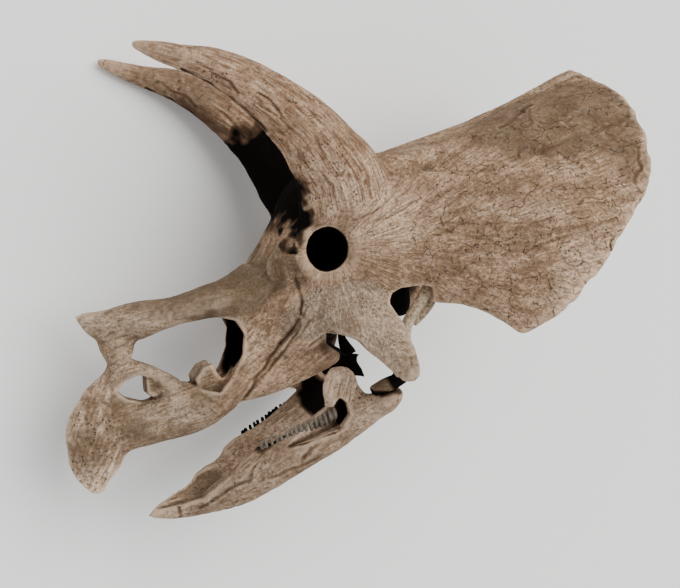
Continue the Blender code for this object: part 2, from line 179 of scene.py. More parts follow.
NASAL_CAVITY = [(-400, -170, 0, 60, 84), (-320, -150, 0, 104, 110), (-250, -110, 0, 90, 104),
                (-205, -80, 0, 46, 60)]
ROOF = [(-246, 50, 0, 50, 106), (-190, 96, 0, 74, 140), (-130, 180, 0, 100, 166),
        (-64, 260, 0, 126, 188), (34, 312, 0, 116, 188), (112, 352, 0, 90, 168)]
BRAINCASE = [(86, 170, 0, 160, 125), (187, 140, 0, 120, 105), (268, 92, 0, 62, 64),
             (324, 62, 0, 40, 40), (351, 54, 0, 46, 46), (382, 46, 0, 24, 24)]
BRAIN_FLOOR = [(150, 60, 0, 50, 50), (176, 0, 0, 50, 56), (196, -44, 0, 36, 44),
               (204, -70, 0, 14, 20)]
ORBIT_WALL = [(-214, 40, 120, 76, 46), (-165, 92, 176, 108, 54), (-112, 126, 216, 134, 54),
              (-39, 133, 248, 135, 54), (59, 134, 272, 122, 50), (147, 118, 300, 104, 42),
              (234, 102, 350, 84, 32), (322, 86, 402, 52, 18), (390, 80, 432, 26, 6)]
TEMPLE = [(-89, 228, 214, 98, 74), (20, 250, 230, 116, 66), (125, 272, 238, 106, 54),
          (225, 298, 254, 80, 34), (320, 322, 300, 40, 12)]
NAPE = [(-40, 330, 180, 84, 76), (35, 362, 168, 62, 92), (110, 385, 148, 46, 100),
        (200, 420, 112, 32, 90), (290, 455, 80, 20, 70)]
UNDER_ORBIT = [(-290, -96, 100, 86, 40), (-220, -80, 148, 94, 46), (-150, -46, 204, 92, 48),
               (-80, -22, 238, 80, 46), (0, 0, 262, 66, 42)]
MAXILLA = [(-368, -270, 74, 52, 42), (-275, -240, 100, 62, 44), (-182, -204, 122, 58, 40),
           (-100, -178, 138, 44, 34), (-45, -164, 144, 28, 22)]
JUGAL = [(-55, 74, 236, 116, 44), (-40, 2, 262, 108, 40), (0, -62, 300, 90, 32),
         (46, -120, 352, 64, 28), (70, -170, 396, 48, 26), (84, -206, 420, 34, 20),
         (88, -224, 428, 16, 10)]
BROW_HORN = [(-698, 702, 291, 12, 10), (-636, 686, 304, 27, 24), (-571, 670, 310, 34, 31),
             (-490, 653, 308, 47, 42), (-416, 628, 300, 58, 52), (-332, 584, 292, 70, 61),
             (-256, 532, 286, 83, 70), (-187, 476, 276, 96, 80), (-134, 416, 262, 110, 90),
             (-86, 355, 244, 129, 99), (-54, 270, 220, 138, 103), (-50, 189, 200, 121, 88)]
RIGHT_HORN_TIP = (-722, 712, 291, 14, 12)
PTERYGOID = [(-90, 0, 60, 60, 50), (-74, -90, 84, 42, 32), (-44, -150, 94, 38, 22),
             (-4, -196, 96, 36, 15), (34, -244, 98, 14, 8)]
SPIKE_ABOVE = [(-14, -178, 92, 28, 15), (20, -176, 92, 15, 11), (48, -170, 92, 5, 5)]
SPIKE_BELOW = [(12, -216, 96, 28, 15), (40, -238, 96, 15, 11), (64, -250, 96, 5, 5)]
QUADRATE = [(216, 90, 302, 26, 22), (170, 20, 296, 18, 18), (118, -72, 288, 17, 20),
            (114, -150, 278, 22, 24), (116, -218, 266, 28, 26)]
WAIST_ROW, RIGHT_WAIST = 3, (90, -146, 276, 11, 16)      # the right one is slimmer here, as if worn
CONDYLE = [(122, -230, 262, 16, 24), (74, -250, 262, 22, 32), (24, -270, 262, 16, 24)]
QUADRATE_BLADE = [(204, 46, 262, 12, 6), (198, 0, 256, 24, 8), (174, -42, 256, 18, 8),
                  (150, -76, 262, 8, 6)]

# %% Stations of the lower jaw
PREDENTARY = [(-596, -668, 0, 5, 5), (-553, -657, 0, 24, 18), (-500, -640, 0, 42, 32),
              (-445, -618, 0, 55, 46), (-402, -600, 0, 64, 64), (-357, -584, 0, 52, 76)]
DENTARY = [(-424, -606, 42, 52, 30), (-384, -590, 64, 58, 36), (-324, -566, 98, 56, 42),
           (-248, -518, 132, 54, 44), (-167, -466, 160, 51, 44), (-84, -411, 190, 51, 40),
           (-18, -358, 216, 50, 36), (34, -320, 238, 40, 36), (76, -296, 254, 34, 40),
           (108, -264, 268, 20, 28)]
CORONOID = [(-19, -383, 206, 70, 28), (-36, -324, 204, 68, 26), (-53, -262, 204, 54, 24),
            (-58, -225, 206, 46, 22), (-58, -200, 208, 26, 14)]
SHELF = [(-338, -512, 88, 30, 18), (-276, -486, 112, 38, 20), (-168, -444, 146, 46, 26),
         (-82, -396, 160, 62, 38), (-24, -352, 174, 56, 36), (24, -318, 196, 40, 30)]
HOOK = [(-66, -226, 210, 34, 24), (-88, -258, 216, 26, 21), (-94, -286, 218, 19, 16),
        (-86, -306, 218, 10, 10)]
TROUGH = [(-585, -630, 0, 10, 6), (-510, -598, 0, 24, 20), (-440, -574, 0, 38, 36),
          (-375, -536, 0, 52, 54), (-290, -490, 0, 76, 80)]

# %% The frill and the openings
FRILL_THICK = 34
# Spokes run from the skull to the margin of the frill, from its lower corner up to the midline.
FRILL_SPOKES = [
    ((170, -4, 322), (288, -14, 394), (402, -86, 474)),
    ((160, 80, 322), (318, 36, 424), (498, -26, 508)),
    ((146, 155, 306), (385, 120, 436), (596, 76, 522)),
    ((144, 227, 276), (434, 225, 418), (720, 229, 490)),
    ((138, 298, 226), (463, 335, 360), (826, 362, 418)),
    ((128, 355, 168), (473, 435, 278), (862, 490, 330)),
    ((117, 397, 100), (464, 516, 178), (838, 630, 204)),
    ((106, 415, 0), (448, 546, 0), (775, 718, 0)),
]
ORBIT = (-121, 146)        # centre of the eye socket: back, up
ORBIT_HALF = (62, 68)
# Openings as outlines in the side view: back, up.
EYE_SOCKET = [(ORBIT[0] - 4 + (ORBIT_HALF[0] - 6) * math.cos(turn),
               ORBIT[1] + (ORBIT_HALF[1] - 4) * math.sin(turn))
              for turn in np.arange(32) * math.tau / 32]
NARIS = [(-652, -190), (-636, -163), (-602, -126), (-550, -99), (-503, -84), (-405, -65), (-355, -71),
         (-330, -112), (-334, -174), (-358, -233), (-394, -287), (-442, -280), (-503, -254),
         (-581, -216)]
SMALL_OPENING = [(-692, -285), (-670, -257), (-627, -238), (-589, -245), (-568, -280),
                 (-577, -310), (-612, -320), (-660, -308)]
CHEEK_WINDOW = [(54, -8), (66, 22), (90, 38), (150, 46), (174, 42), (178, 0), (176, -90),
                (110, -90), (82, -54)]
CHEEK_NOTCH = [(-118, -97), (-76, -101), (-36, -116), (-13, -147), (4, -186), (25, -204),
               (41, -216), (30, -320), (-200, -320), (-150, -130)]
# The gap above the pterygoids: it slants back towards the far side, as (back, up) per millimetre.
PALATE_GAP = [(-70, -98), (-68, -144), (-34, -164), (-6, -180), (24, -176), (62, -180),
              (110, -150), (76, -70), (10, -62), (-40, -78)]
GAP_LEFT, GAP_LEAN, GAP_HALF = 90, (-0.306, 0.061), 190
# Broken tabs of bone that stand into the nostril and the small opening.
NARIS_TABS = [(-462, -250), (-440, -217), (-410, -205), (-401, -229), (-384, -250), (-364, -239),
              (-352, -200), (-336, -240), (-330, -310), (-440, -310)]
OPENING_TAB = [(-606, -250), (-590, -246), (-560, -268), (-560, -292), (-584, -304), (-602, -296)]
THROUGH = 400           # how far a cut through the snout reaches to each side
# Each side's cuts and tabs: the outline, and how far left of the midline it starts and stops.
SIDE_CUTS = [(EYE_SOCKET, 70, 500), (CHEEK_WINDOW, 200, 500), (CHEEK_NOTCH, 185, 500)]
TABS = [(NARIS_TABS, 34, 66), (OPENING_TAB, 14, 44)]
# Edges of the lower jaw: the fossa in front of the coronoid, and the low left rim of the jaw's front.
JAW_FOSSA = [(-66, -290), (-44, -304), (-36, -340), (-62, -384), (-120, -407), (-158, -424),
             (-234, -446), (-234, -380), (-150, -320), (-104, -318), (-84, -320)]
LOW_RIM = [(-584, -650), (-536, -643), (-483, -628), (-435, -612), (-418, -590), (-398, -567),
           (-356, -528), (-330, -494), (-286, -456), (-300, -380), (-700, -380), (-700, -640)]
FOSSA_SPAN, RIM_SPAN = (176, 300), (0, 200)
# The tooth row, from front to rear: back, up, left.
TOOTH_ROW = [(-280, -444, 116), (-170, -386, 158), (-62, -330, 188)]
print(len(FRILL_SPOKES), "spokes in half the frill,", 3 + 2 * len(SIDE_CUTS), "openings to cut")

# %% [markdown]
# ## Lofts, frill and openings as meshes
#
# These small helpers turn the tables into closed meshes. They overlap freely: a voxel remesh fuses
# whatever overlaps into one skin, which is how a modeller in clay would press the lumps together.

# %% Loft and frill helpers
THINNEST = 2        # least half width of a loft, in millimetres


def spline(rows, steps):
    """A Catmull-Rom curve through rows of numbers, with `steps` samples from row to row."""
    rows = np.array(rows, float)
    ends = np.vstack([2 * rows[0] - rows[1], rows, 2 * rows[-1] - rows[-2]])
    made = []
    for a, b, c, d in zip(ends, ends[1:], ends[2:], ends[3:]):
        for t in np.arange(steps) / steps:
            made.append(0.5 * (2 * b + (c - a) * t + (2 * a - 5 * b + 4 * c - d) * t**2
                               + (3 * b - a - 3 * c + d) * t**3))
    return np.array(made + [rows[-1]])


def bridge(bm, one, two):
    """Quads from one ring of points to the next."""
    for k in range(len(one)):
        j = (k + 1) % len(one)
        bm.faces.new((one[k], one[j], two[j], two[k]))


def add_loft(bm, stations, side=LEFT, steps=4, sides=28, squareness=2.0):
    """A closed loft with elliptic or squarer rings; side=RIGHT mirrors it across the midline."""
    rows = spline(stations, steps)
    centres = [place(row[0], row[1], side * row[2]) for row in rows]
    rings = []
    for i, row in enumerate(rows):
        along = (centres[min(i + 1, len(rows) - 1)] - centres[max(i - 1, 0)]).normalized()
        across = Vector((0, -1, 0))
        across = (across - along * across.dot(along)).normalized()
        deep = along.cross(across)
        depth, width = np.maximum(row[3:], THINNEST) * MM
        ring = []
        for k in range(sides):
            turn = math.tau * k / sides
            sideways, upright = math.cos(turn), math.sin(turn)
            sideways = math.copysign(abs(sideways) ** (2 / squareness), sideways)
            upright = math.copysign(abs(upright) ** (2 / squareness), upright)
            ring.append(bm.verts.new(centres[i] + across * sideways * width + deep * upright * depth))
        rings.append(ring)
    for one, two in zip(rings, rings[1:]):
        bridge(bm, one, two)
    bm.faces.new(rings[0][::-1])
    bm.faces.new(rings[-1])


def object_from(bm, name):
    """Turns a finished bmesh into an object whose faces look outwards."""
    bmesh.ops.recalc_face_normals(bm, faces=bm.faces)
    mesh = bpy.data.meshes.new(name)
    bm.to_mesh(mesh)
    bm.free()
    made = bpy.data.objects.new(name, mesh)
    bpy.context.scene.collection.objects.link(made)
    return made


def settle(obj):
    """Replaces an object's modifiers by their result."""
    graph = bpy.context.evaluated_depsgraph_get()
    mesh = bpy.data.meshes.new_from_object(obj.evaluated_get(graph))
    obj.modifiers.clear()
    obj.data = mesh


def discard(obj):
    """Removes an object that has been used up."""
    bpy.data.objects.remove(obj, do_unlink=True)


def frill_shell():
    """The frill as a grid of spokes on both sides of the midline, thickened by Solidify."""
    spokes = [spline(spoke, 6) for spoke in FRILL_SPOKES]
    grid = spline([spoke.ravel() for spoke in spokes], 4).reshape(-1, *spokes[0].shape)
    grid = np.concatenate([grid, grid[-2::-1] * (1, 1, -1)])
    bm = bmesh.new()
    verts = [[bm.verts.new(place(*point)) for point in spoke] for spoke in grid]
    for one, two in zip(verts, verts[1:]):
        for k in range(len(one) - 1):
            bm.faces.new((one[k], one[k + 1], two[k + 1], two[k]))
    shell = object_from(bm, "frill_shell")
    thick = shell.modifiers.new("thickness", "SOLIDIFY")
    thick.thickness = FRILL_THICK * MM
    thick.offset = 0
    settle(shell)
    return shell


def prism(outline, left_from, left_to, drawn_at=0, lean=(0, 0)):
    """A solid outline of (back, up), carried from one distance left of the midline to another.

    With a lean, the outline holds at `drawn_at` and slides by `lean` for each millimetre left of it.
    """
    bm = bmesh.new()
    rings = []
    for left in sorted((left_from, left_to)):
        slide = left - drawn_at
        rings.append([bm.verts.new(place(b + lean[0] * slide, u + lean[1] * slide, left))
                      for b, u in outline])
    near, far = rings
    bridge(bm, near, far)
    bm.faces.new(near[::-1])
    bm.faces.new(far)
    return object_from(bm, "prism")


def face_left(back):
    """How far left of the midline the face lies at the eye socket, which looks a little forwards."""
    return 270 + 0.35 * (back - ORBIT[0])


def add_orbit_rim(bm, side, turns=36, sides=10):
    """The raised rim round an eye socket: a ring-shaped tube."""
    outside, thick = 16, 18
    rings = []
    for i in range(turns):
        turn = math.tau * i / turns
        back = ORBIT[0] + math.cos(turn) * (ORBIT_HALF[0] + outside)
        up = ORBIT[1] + math.sin(turn) * (ORBIT_HALF[1] + outside)
        outward = Vector((math.cos(turn), 0, math.sin(turn)))
        ring = []
        for k in range(sides):
            tube = math.tau * k / sides
            point = place(back, up, side * face_left(back)) + outward * math.cos(tube) * thick * MM
            ring.append(bm.verts.new(point + Vector((0, 1, 0)) * math.sin(tube) * thick * MM))
        rings.append(ring)
    for one, two in zip(rings, rings[1:] + rings[:1]):
        bridge(bm, one, two)


bm = bmesh.new()
add_loft(bm, BEAK)
print("the beak's loft has", len(bm.verts), "points; a frill spoke", len(spline(FRILL_SPOKES[0], 6)))
bm.free()

# %% [markdown]
# ## Fusing the clay
#
# The remesh runs twice. The first pass is coarse and well smoothed, so that the seams between the lofts
# melt. Then the openings are cut, and a second, finer pass rounds the cut edges and gives an even net of
# small faces for the carving that follows.

# %% Fuse, open and refine
COARSE, FINE, TOOTH_NET = 0.011, 0.0046, 0.0026       # voxel sizes in metres


def fused(name, bm, extras=()):
    """Overlapping closed shells melted into one skin and smoothed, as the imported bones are."""
    body = object_from(bm, name)
    for extra in extras:
        joined = bmesh.new()
        joined.from_mesh(body.data)
        joined.from_mesh(extra.data)
        joined.to_mesh(body.data)
        joined.free()
        discard(extra)
    melt = body.modifiers.new("melt", "REMESH")
    melt.mode = "VOXEL"
    melt.voxel_size = COARSE
    soften = body.modifiers.new("soften", "SMOOTH")
    soften.factor = 0.5
    soften.iterations = 12
    regrow = body.modifiers.new("regrow", "DISPLACE")
    regrow.mid_level = 0
    regrow.strength = 3 * MM
    settle(body)
    return body


def boolean(obj, other, operation):
    """Cuts another solid out of an object or joins it on, and uses the other one up."""
    cut = obj.modifiers.new(operation, "BOOLEAN")
    cut.operation = operation
    cut.solver = "MANIFOLD"
    cut.object = other
    settle(obj)
    discard(other)


def refined(body, rounds, net_size=FINE):
    """A fine even net over the body, its edges rounded by a few rounds of smoothing."""
    net = body.modifiers.new("net", "REMESH")
    net.mode = "VOXEL"
    net.voxel_size = net_size
    soften = body.modifiers.new("soften", "SMOOTH")
    soften.factor = 0.5
    soften.iterations = rounds
    settle(body)
    return body


def build_cranium():
    """All the lofts of the cranium and the frill, fused."""
    bm = bmesh.new()
    for stations in (BEAK, PREMAXILLA, SNOUT_FRONT, NARIS_BAR, NASAL_HORN, NASAL, ROOF, BRAINCASE,
                     BRAIN_FLOOR):
        add_loft(bm, stations)
    add_loft(bm, FACE, squareness=2.6)
    for side in (LEFT, RIGHT):
        horn = BROW_HORN if side == LEFT else [RIGHT_HORN_TIP] + BROW_HORN[1:]
        for stations in (ORBIT_WALL, TEMPLE, NAPE, UNDER_ORBIT, MAXILLA, JUGAL, horn, PTERYGOID,
                         SPIKE_ABOVE, SPIKE_BELOW):
            add_loft(bm, stations, side)
        add_orbit_rim(bm, side)
    return fused("cranium", bm, [frill_shell()])


def open_cranium(cranium):
    """Cuts the nostrils right through the snout, and the sockets and windows into the cheeks."""
    hollow = bmesh.new()
    add_loft(hollow, NASAL_CAVITY)
    cutters = [object_from(hollow, "cavity")]
    for outline in (NARIS, SMALL_OPENING):
        cutters.append(prism(outline, -THROUGH, THROUGH))
    for side in (LEFT, RIGHT):
        for outline, start, stop in SIDE_CUTS:
            cutters.append(prism(outline, side * start, side * stop))
    cutters.append(prism(PALATE_GAP, -GAP_HALF, GAP_HALF, GAP_LEFT, GAP_LEAN))
    for cutter in cutters:
        boolean(cranium, cutter, "DIFFERENCE")
    for side in (LEFT, RIGHT):
        for outline, start, stop in TABS:
            boolean(cranium, prism(outline, side * start, side * stop), "UNION")


cranium = build_cranium()
open_cranium(cranium)
refined(cranium, 3)
print("cranium:", len(cranium.data.polygons), "faces")

# %% The lower jaw
def build_mandible():
    """The lower jaw, fused, with the trough of its front and the fossae cut in."""
    bm = bmesh.new()
    add_loft(bm, PREDENTARY)
    for side in (LEFT, RIGHT):
        for stations in (DENTARY, CORONOID, SHELF, HOOK):
            add_loft(bm, stations, side)
    jaw = fused("mandible", bm)
    bm = bmesh.new()
    add_loft(bm, TROUGH)
    boolean(jaw, object_from(bm, "trough"), "DIFFERENCE")
    boolean(jaw, prism(LOW_RIM, *RIM_SPAN), "DIFFERENCE")
    start, stop = FOSSA_SPAN
    for side in (LEFT, RIGHT):
        boolean(jaw, prism(JAW_FOSSA, side * start, side * stop), "DIFFERENCE")
    return jaw


mandible = refined(build_mandible(), 2)
print("lower jaw:", len(mandible.data.polygons), "faces")

# %% [markdown]
# ## Quadrates
#
# The quadrate is the strut that hangs the lower jaw from the skull: a slim shaft with a thin blade
# behind it, ending below in a rounded bar, the condyle, that the jaw hinges on. It is its own small
# fused body on each side.

# %% The quadrates
def build_quadrate(side):
    """Shaft, blade and condyle of one quadrate, fused."""
    bm = bmesh.new()
    shaft = list(QUADRATE)
    if side == RIGHT:
        shaft[WAIST_ROW] = RIGHT_WAIST
    for stations in (shaft, QUADRATE_BLADE, CONDYLE):
        add_loft(bm, stations, side)
    return refined(object_from(bm, "quadrate"), 4)


quadrates = {"left": build_quadrate(LEFT), "right": build_quadrate(RIGHT)}
print("quadrate:", len(quadrates["left"].data.polygons), "faces")

# %% [markdown]
# ## Noise, lines and blots
#
# The skin is now an even net of small faces, so it can be carved like clay: each point is pushed in or
# out along its normal. Three small tools decide where. Noise gives lumps that never repeat, a line gives
# a groove along a suture or a crack, and a blot fades from the middle of an ellipsoid, for rough or
# stained places. Numpy works on all points at once, which keeps it quick.

# %% Noise, lines and blots
def noise(points, lump, seed=0):
    """Smooth noise from -1 to 1, with lumps of about `lump` in the units of the points."""
    grid = np.asarray(points, float) / lump + 0.37 * seed
    cell = np.floor(grid).astype(np.int64)
    part = grid - cell
    part = part * part * (3 - 2 * part)
    total = np.zeros(len(grid))
    for corner in np.ndindex(2, 2, 2):
        spot = cell + corner
        mixed = (spot[:, 0] * 73856093) ^ (spot[:, 1] * 19349663) ^ (spot[:, 2] * 83492791)
        mixed = ((mixed + seed * 6542989) * 2654435761) & 0xFFFFFFFF
        mixed = ((mixed ^ (mixed >> 15)) * 2246822519) & 0xFFFFFFFF
        weight = np.prod(np.where(corner, part, 1 - part), axis=1)
        total += weight * ((mixed >> 12 & 0xFFFF) / 32767.5 - 1)
    return total


def lumps(spots, layers):
    """Noises added up; each layer is a height in millimetres, a lump size and a seed."""
    return sum(height * noise(spots, size, seed) for height, size, seed in layers)


def shake(spots, amount, lump, seeds):
    """Random moves of up to `amount`, with one seed for each coordinate, to make edges ragged."""
    return amount * np.column_stack([noise(spots, lump, seed) for seed in seeds])


def near_line(spots, line, width, wander=5):
    """1 on a line of (back, up) points, falling to 0 at `width`; the line wanders a little."""
    line = np.array(line, float)
    reach = width + 2 * wander
    flat = spots[:, :2]
    close = np.all((flat > line.min(axis=0) - reach) & (flat < line.max(axis=0) + reach), axis=1)
    found = np.zeros(len(spots))
    near = spots[close]
    flat = near[:, :2] + shake(near, wander, 34, (5, 6))
    best = np.full(len(flat), float(width))
    for start, end in zip(line, line[1:]):
        run = end - start
        share = np.clip((flat - start) @ run / (run @ run), 0, 1)
        best = np.minimum(best, np.hypot(*(flat - start - share[:, None] * run).T))
    found[close] = 1 - best / width
    return found


def blot(spots, middle, reach):
    """1 in the middle of an ellipsoid (back, up, left), fading to 0 at its reach."""
    gap = (spots - middle) / reach
    inside = np.clip(1 - np.sum(gap * gap, axis=1), 0, 1)
    return inside * inside * (3 - 2 * inside)


def folded(spots):
    """The same spots with the right side folded onto the left."""
    return np.column_stack([spots[:, :2], np.abs(spots[:, 2])])


def sum_of_blots(spots, blots, on_both_sides=True):
    """Blots added up and cut off at 1. Each is a middle, a reach along each axis and a strength."""
    if on_both_sides:
        spots = folded(spots)
    total = np.zeros(len(spots))
    for middle, reach, strength in blots:
        total += strength * blot(spots, middle, reach)
    return np.clip(total, 0, 1)


def drawing(points):
    """Mesh points, in metres, as (back, up, left) in millimetres."""
    return np.column_stack([points[:, 0], points[:, 2], -points[:, 1]]) / MM


def skin_of(obj):
    """The points and normals of an object's mesh, as arrays."""
    mesh = obj.data
    points, normals = np.empty((2, len(mesh.vertices) * 3), np.float32)
    mesh.vertices.foreach_get("co", points)
    mesh.vertices.foreach_get("normal", normals)
    return points.reshape(-1, 3).astype(float), normals.reshape(-1, 3).astype(float)


def set_points(obj, points):
    """Moves the points of an object's mesh."""
    obj.data.vertices.foreach_set("co", points.astype(np.float32).ravel())
    obj.data.update()


sample = np.random.default_rng(1).uniform(-500, 500, (2000, 3))
print("noise runs from", round(noise(sample, 40).min(), 2), "to", round(noise(sample, 40).max(), 2))

# %% [markdown]
# ## Sutures and cracks
#
# A skull shows where its bones met: shallow wandering grooves, some of them filled with dark matrix. A
# long fold runs from the horn past the eye socket and down the cheek. The frill is crazed by cracks that
# fan out towards its margin; those are grown here, each as a short walk that now and then forks.

# %% Lines to carve
# Each line: (back, up) points, width, depth, darkness.
SUTURES = [
    # The long suture across the frill, and the fold from the horn down the face.
    ([(303, 375), (393, 397), (518, 442), (651, 494), (753, 528), (819, 561)], 13, 2.2, 0.35),
    ([(-207, 171), (-205, 107), (-194, 54), (-186, -17), (-192, -55), (-214, -92), (-251, -171),
      (-292, -239), (-320, -302)], 26, 4.5, 0.12),
    # Splits along that fold.
    ([(-200, 60), (-194, 20), (-186, -17), (-190, -45)], 9, 3.5, 0.75),
    ([(-196, -60), (-214, -92), (-236, -140)], 12, 3.5, 0.8),
    ([(-236, -140), (-258, -181), (-292, -239), (-320, -302)], 7, 2.5, 0.5),
    ([(-190, -76), (-219, -154), (-263, -221), (-311, -282), (-344, -349)], 8, 3.0, 0.6),
    ([(-170, -20), (-196, -76), (-226, -130)], 7, 2.0, 0.5),
    ([(-166, -60), (-200, -128), (-240, -186)], 7, 1.6, 0.4),
    # Snout, beak and the side of the nostril.
    ([(-744, -140), (-690, -152), (-655, -128), (-600, -94)], 8, 1.4, 0.35),
    ([(-690, -330), (-660, -400), (-630, -470), (-650, -540)], 10, 1.8, 0.3),
    ([(-470, -262), (-440, -300), (-400, -318), (-380, -350)], 9, 2.0, 0.55),
    # Below the eye socket, then the splits in the horns.
    ([(-86, 80), (-70, 20), (-30, -20)], 8, 1.2, 0.3),
    ([(-565, 635), (-483, 600), (-418, 560), (-360, 512), (-314, 470)], 7, 2.8, 0.75),
    ([(-351, 576), (-324, 561), (-295, 529), (-264, 481)], 6.5, 2.6, 0.75),
    ([(-300, 455), (-268, 405), (-240, 350), (-215, 300)], 9, 2.2, 0.5),
    ([(-530, 652), (-470, 622), (-430, 604), (-405, 575)], 6, 1.8, 0.55),
    ([(-250, 560), (-216, 520), (-190, 470), (-160, 400)], 8, 1.6, 0.35),
    # From the eye socket back, and the open cracks of the frill.
    ([(-60, 230), (0, 250), (60, 300), (98, 360)], 9, 1.5, 0.35),
    ([(199, 229), (277, 228), (341, 229), (433, 231), (491, 247)], 5, 1.5, 0.26),
    ([(216, 201), (285, 191), (327, 178), (358, 156), (401, 148), (466, 172), (568, 208)], 5, 1.6, 0.30),
    ([(436, 516), (470, 535), (497, 554), (540, 580), (574, 600)], 7, 2.6, 0.45),
    ([(509, 305), (512, 320), (524, 334), (556, 329)], 5.5, 2.0, 0.4),
    ([(576, 289), (610, 291), (661, 296)], 5.5, 1.8, 0.35),
    ([(596, 209), (604, 184), (616, 158)], 5.5, 1.8, 0.35),
    ([(656, 193), (650, 172), (660, 150), (676, 130)], 7, 3.0, 0.9),
    ([(816, 455), (800, 430), (806, 400), (780, 380), (767, 363), (775, 330)], 8, 2.6, 0.4),
    ([(311, 152), (318, 120), (319, 81)], 5, 1.5, 0.3),
]
JAW_LINES = [       # the folds below the coronoid, then the sutures of the dentary
    ([(-60, -376), (-110, -404), (-158, -424), (-200, -440)], 9, 2.5, 0.9),
    ([(-170, -470), (-150, -452), (-128, -436)], 9, 3.0, 0.95),
    ([(-372, -640), (-330, -628), (-280, -610), (-236, -590)], 8, 3.0, 0.85),
    ([(-300, -500), (-316, -540), (-360, -560), (-400, -596), (-440, -640)], 9, 1.8, 0.45),
    ([(-290, -540), (-230, -520), (-180, -500), (-120, -470)], 8, 1.4, 0.4),
    ([(-190, -560), (-140, -520), (-60, -470)], 8, 1.3, 0.35),
    ([(-505, -640), (-498, -664), (-494, -690)], 8, 2.4, 0.7),
]


STRIDE = 14         # millimetres from one point of a crack to the next


def grow_cracks(count, start_box, heading, length, seed):
    """Cracks as walks of (back, up) points; `heading` gives the way to go from any point."""
    dice = np.random.default_rng(seed)
    cracks = []
    for _ in range(count):
        spot = np.array([dice.uniform(*start_box[0]), dice.uniform(*start_box[1])])
        turn = heading(spot) + dice.normal(0, 0.5)
        walk = [spot]
        for _ in range(int(dice.uniform(*length) / STRIDE)):
            turn += dice.normal(0, 0.38) + 0.18 * (heading(walk[-1]) - turn)
            walk.append(walk[-1] + STRIDE * np.array([math.cos(turn), math.sin(turn)]))
        cracks.append(walk)
        if dice.random() < 0.6 and len(walk) > 4:
            side = turn + dice.choice([-1, 1]) * dice.uniform(0.6, 1.3)
            fork = [walk[len(walk) // 2]]
            for _ in range(dice.integers(2, 6)):
                side += dice.normal(0, 0.3)
                fork.append(fork[-1] + (STRIDE - 1) * np.array([math.cos(side), math.sin(side)]))
            cracks.append(fork)
    return cracks


FAN_MIDDLE = (-60, 120)      # where the frill's fibres and cracks fan out from


def away_from_nape(spot):
    """The way from the middle of the fan, as an angle."""
    return math.atan2(spot[1] - FAN_MIDDLE[1], spot[0] - FAN_MIDDLE[0])


FRILL_CRACKS = (grow_cracks(34, ((500, 800), (-60, 560)), away_from_nape, (40, 150), seed=3)
                + grow_cracks(10, ((180, 520), (40, 420)), away_from_nape, (40, 130), seed=8))
print(len(SUTURES) + len(JAW_LINES), "sutures and", len(FRILL_CRACKS), "frill cracks")

# %% [markdown]
# ## Carving the cranium
#
# The carving goes from broad to fine: slow lumps everywhere, then the sutures, the cracks, pits at the
# foot of the horns, a rough cheek tip and beak, and last the bites along the margin of the frill. The
# darkness of each groove is kept for the material; the sockets and caverns get painted shade there
# later, as light does not reach them.

# %% Carve the cranium
# Slow lumps as height, size and seed, and a shift that reads other noise than the colours do.
CRANIUM_LUMPS = [(1.8, 80, 0), (1.0, 32, 1), (0.55, 13, 2)]
NOISE_SHIFT = (0, 0, 900)
CRACK_WIDTH, CRACK_DEPTH, CRACK_DARK = 4.8, 1.2, 0.30
# Rough, pitted places: the foot of the horn, the cheek tip, the beak and the front of the maxilla.
ROUGH = [((-96, 330, 262), (150, 150, 150), 1.0), ((80, -190, 410), (120, 110, 140), 0.8),
         ((-730, -440, 20), (130, 220, 90), 0.6), ((-230, -270, 110), (160, 90, 90), 0.5)]
# Bites out of the frill's margin: depth, size, seed and the noise below which there is none.
BITES = [(13, 44, 7, 0.05), (7, 18, 8, 0.1)]
BITE_REACH = 58
FRILL_MIDDLE = (320, 210)


def grooves(spots, lines, showing, patches, sharpness):
    """Depth in millimetres and darkness of carved lines; each is dark in patches along its run."""
    depth, dark = np.zeros((2, len(spots)))
    for line, width, deep, darkness in lines:
        groove = near_line(spots, line, width) * showing
        depth += deep * groove
        dark = np.maximum(dark, darkness * groove ** sharpness * patches)
    return depth, dark


def bitten(spots):
    """How far the margin of the frill is bitten away at each point: (back, up) in millimetres."""
    margin = spline([spoke[-1] for spoke in FRILL_SPOKES], 12)[:, :2]
    edge = near_line(folded(spots), margin, BITE_REACH, 0)
    through = (spots + NOISE_SHIFT) * (1, 1, 0.2)       # so a bite goes right through the bone
    bite = sum(depth * np.clip(noise(through, size, seed) - least, 0, 1)
               for depth, size, seed, least in BITES)
    inward = FRILL_MIDDLE - spots[:, :2]
    inward /= np.linalg.norm(inward, axis=1)[:, None]
    return (bite * edge ** 0.7)[:, None] * inward


def carve_cranium(obj):
    """Carves the skin and returns how dark its grooves are."""
    points, normals = skin_of(obj)
    spots = drawing(points)
    left_half = folded(spots)
    shifted = spots + NOISE_SHIFT
    outer = np.clip((left_half[:, 2] - 60) / 60, 0, 1)
    patches = np.clip(0.75 + 1.1 * noise(shifted, 46, 9), 0.15, 1.25)
    depth, dark = grooves(left_half, SUTURES, outer, patches, 1.5)
    for walk in FRILL_CRACKS:
        crack = near_line(left_half, walk, CRACK_WIDTH)
        depth += CRACK_DEPTH * crack * patches
        dark = np.maximum(dark, CRACK_DARK * crack ** 2 * patches)

    rough = sum_of_blots(spots, ROUGH)
    pits = np.clip(noise(shifted, 10, 4) - 0.50, 0, 1) * rough
    dark = np.maximum(dark, np.clip(1.3 * pits, 0, 0.4))
    push = lumps(shifted, CRANIUM_LUMPS) + rough * 1.5 * noise(shifted, 17, 3) - 6 * pits - depth
    points += normals * (push * MM)[:, None]
    points[:, (0, 2)] += bitten(spots) * MM
    # The right eye socket was pressed back a little in the ground; its front rim sits further back.
    points[:, 0] += 30 * MM * blot(spots, (-215, 165, -240), (120, 140, 170))
    set_points(obj, points)
    return dark


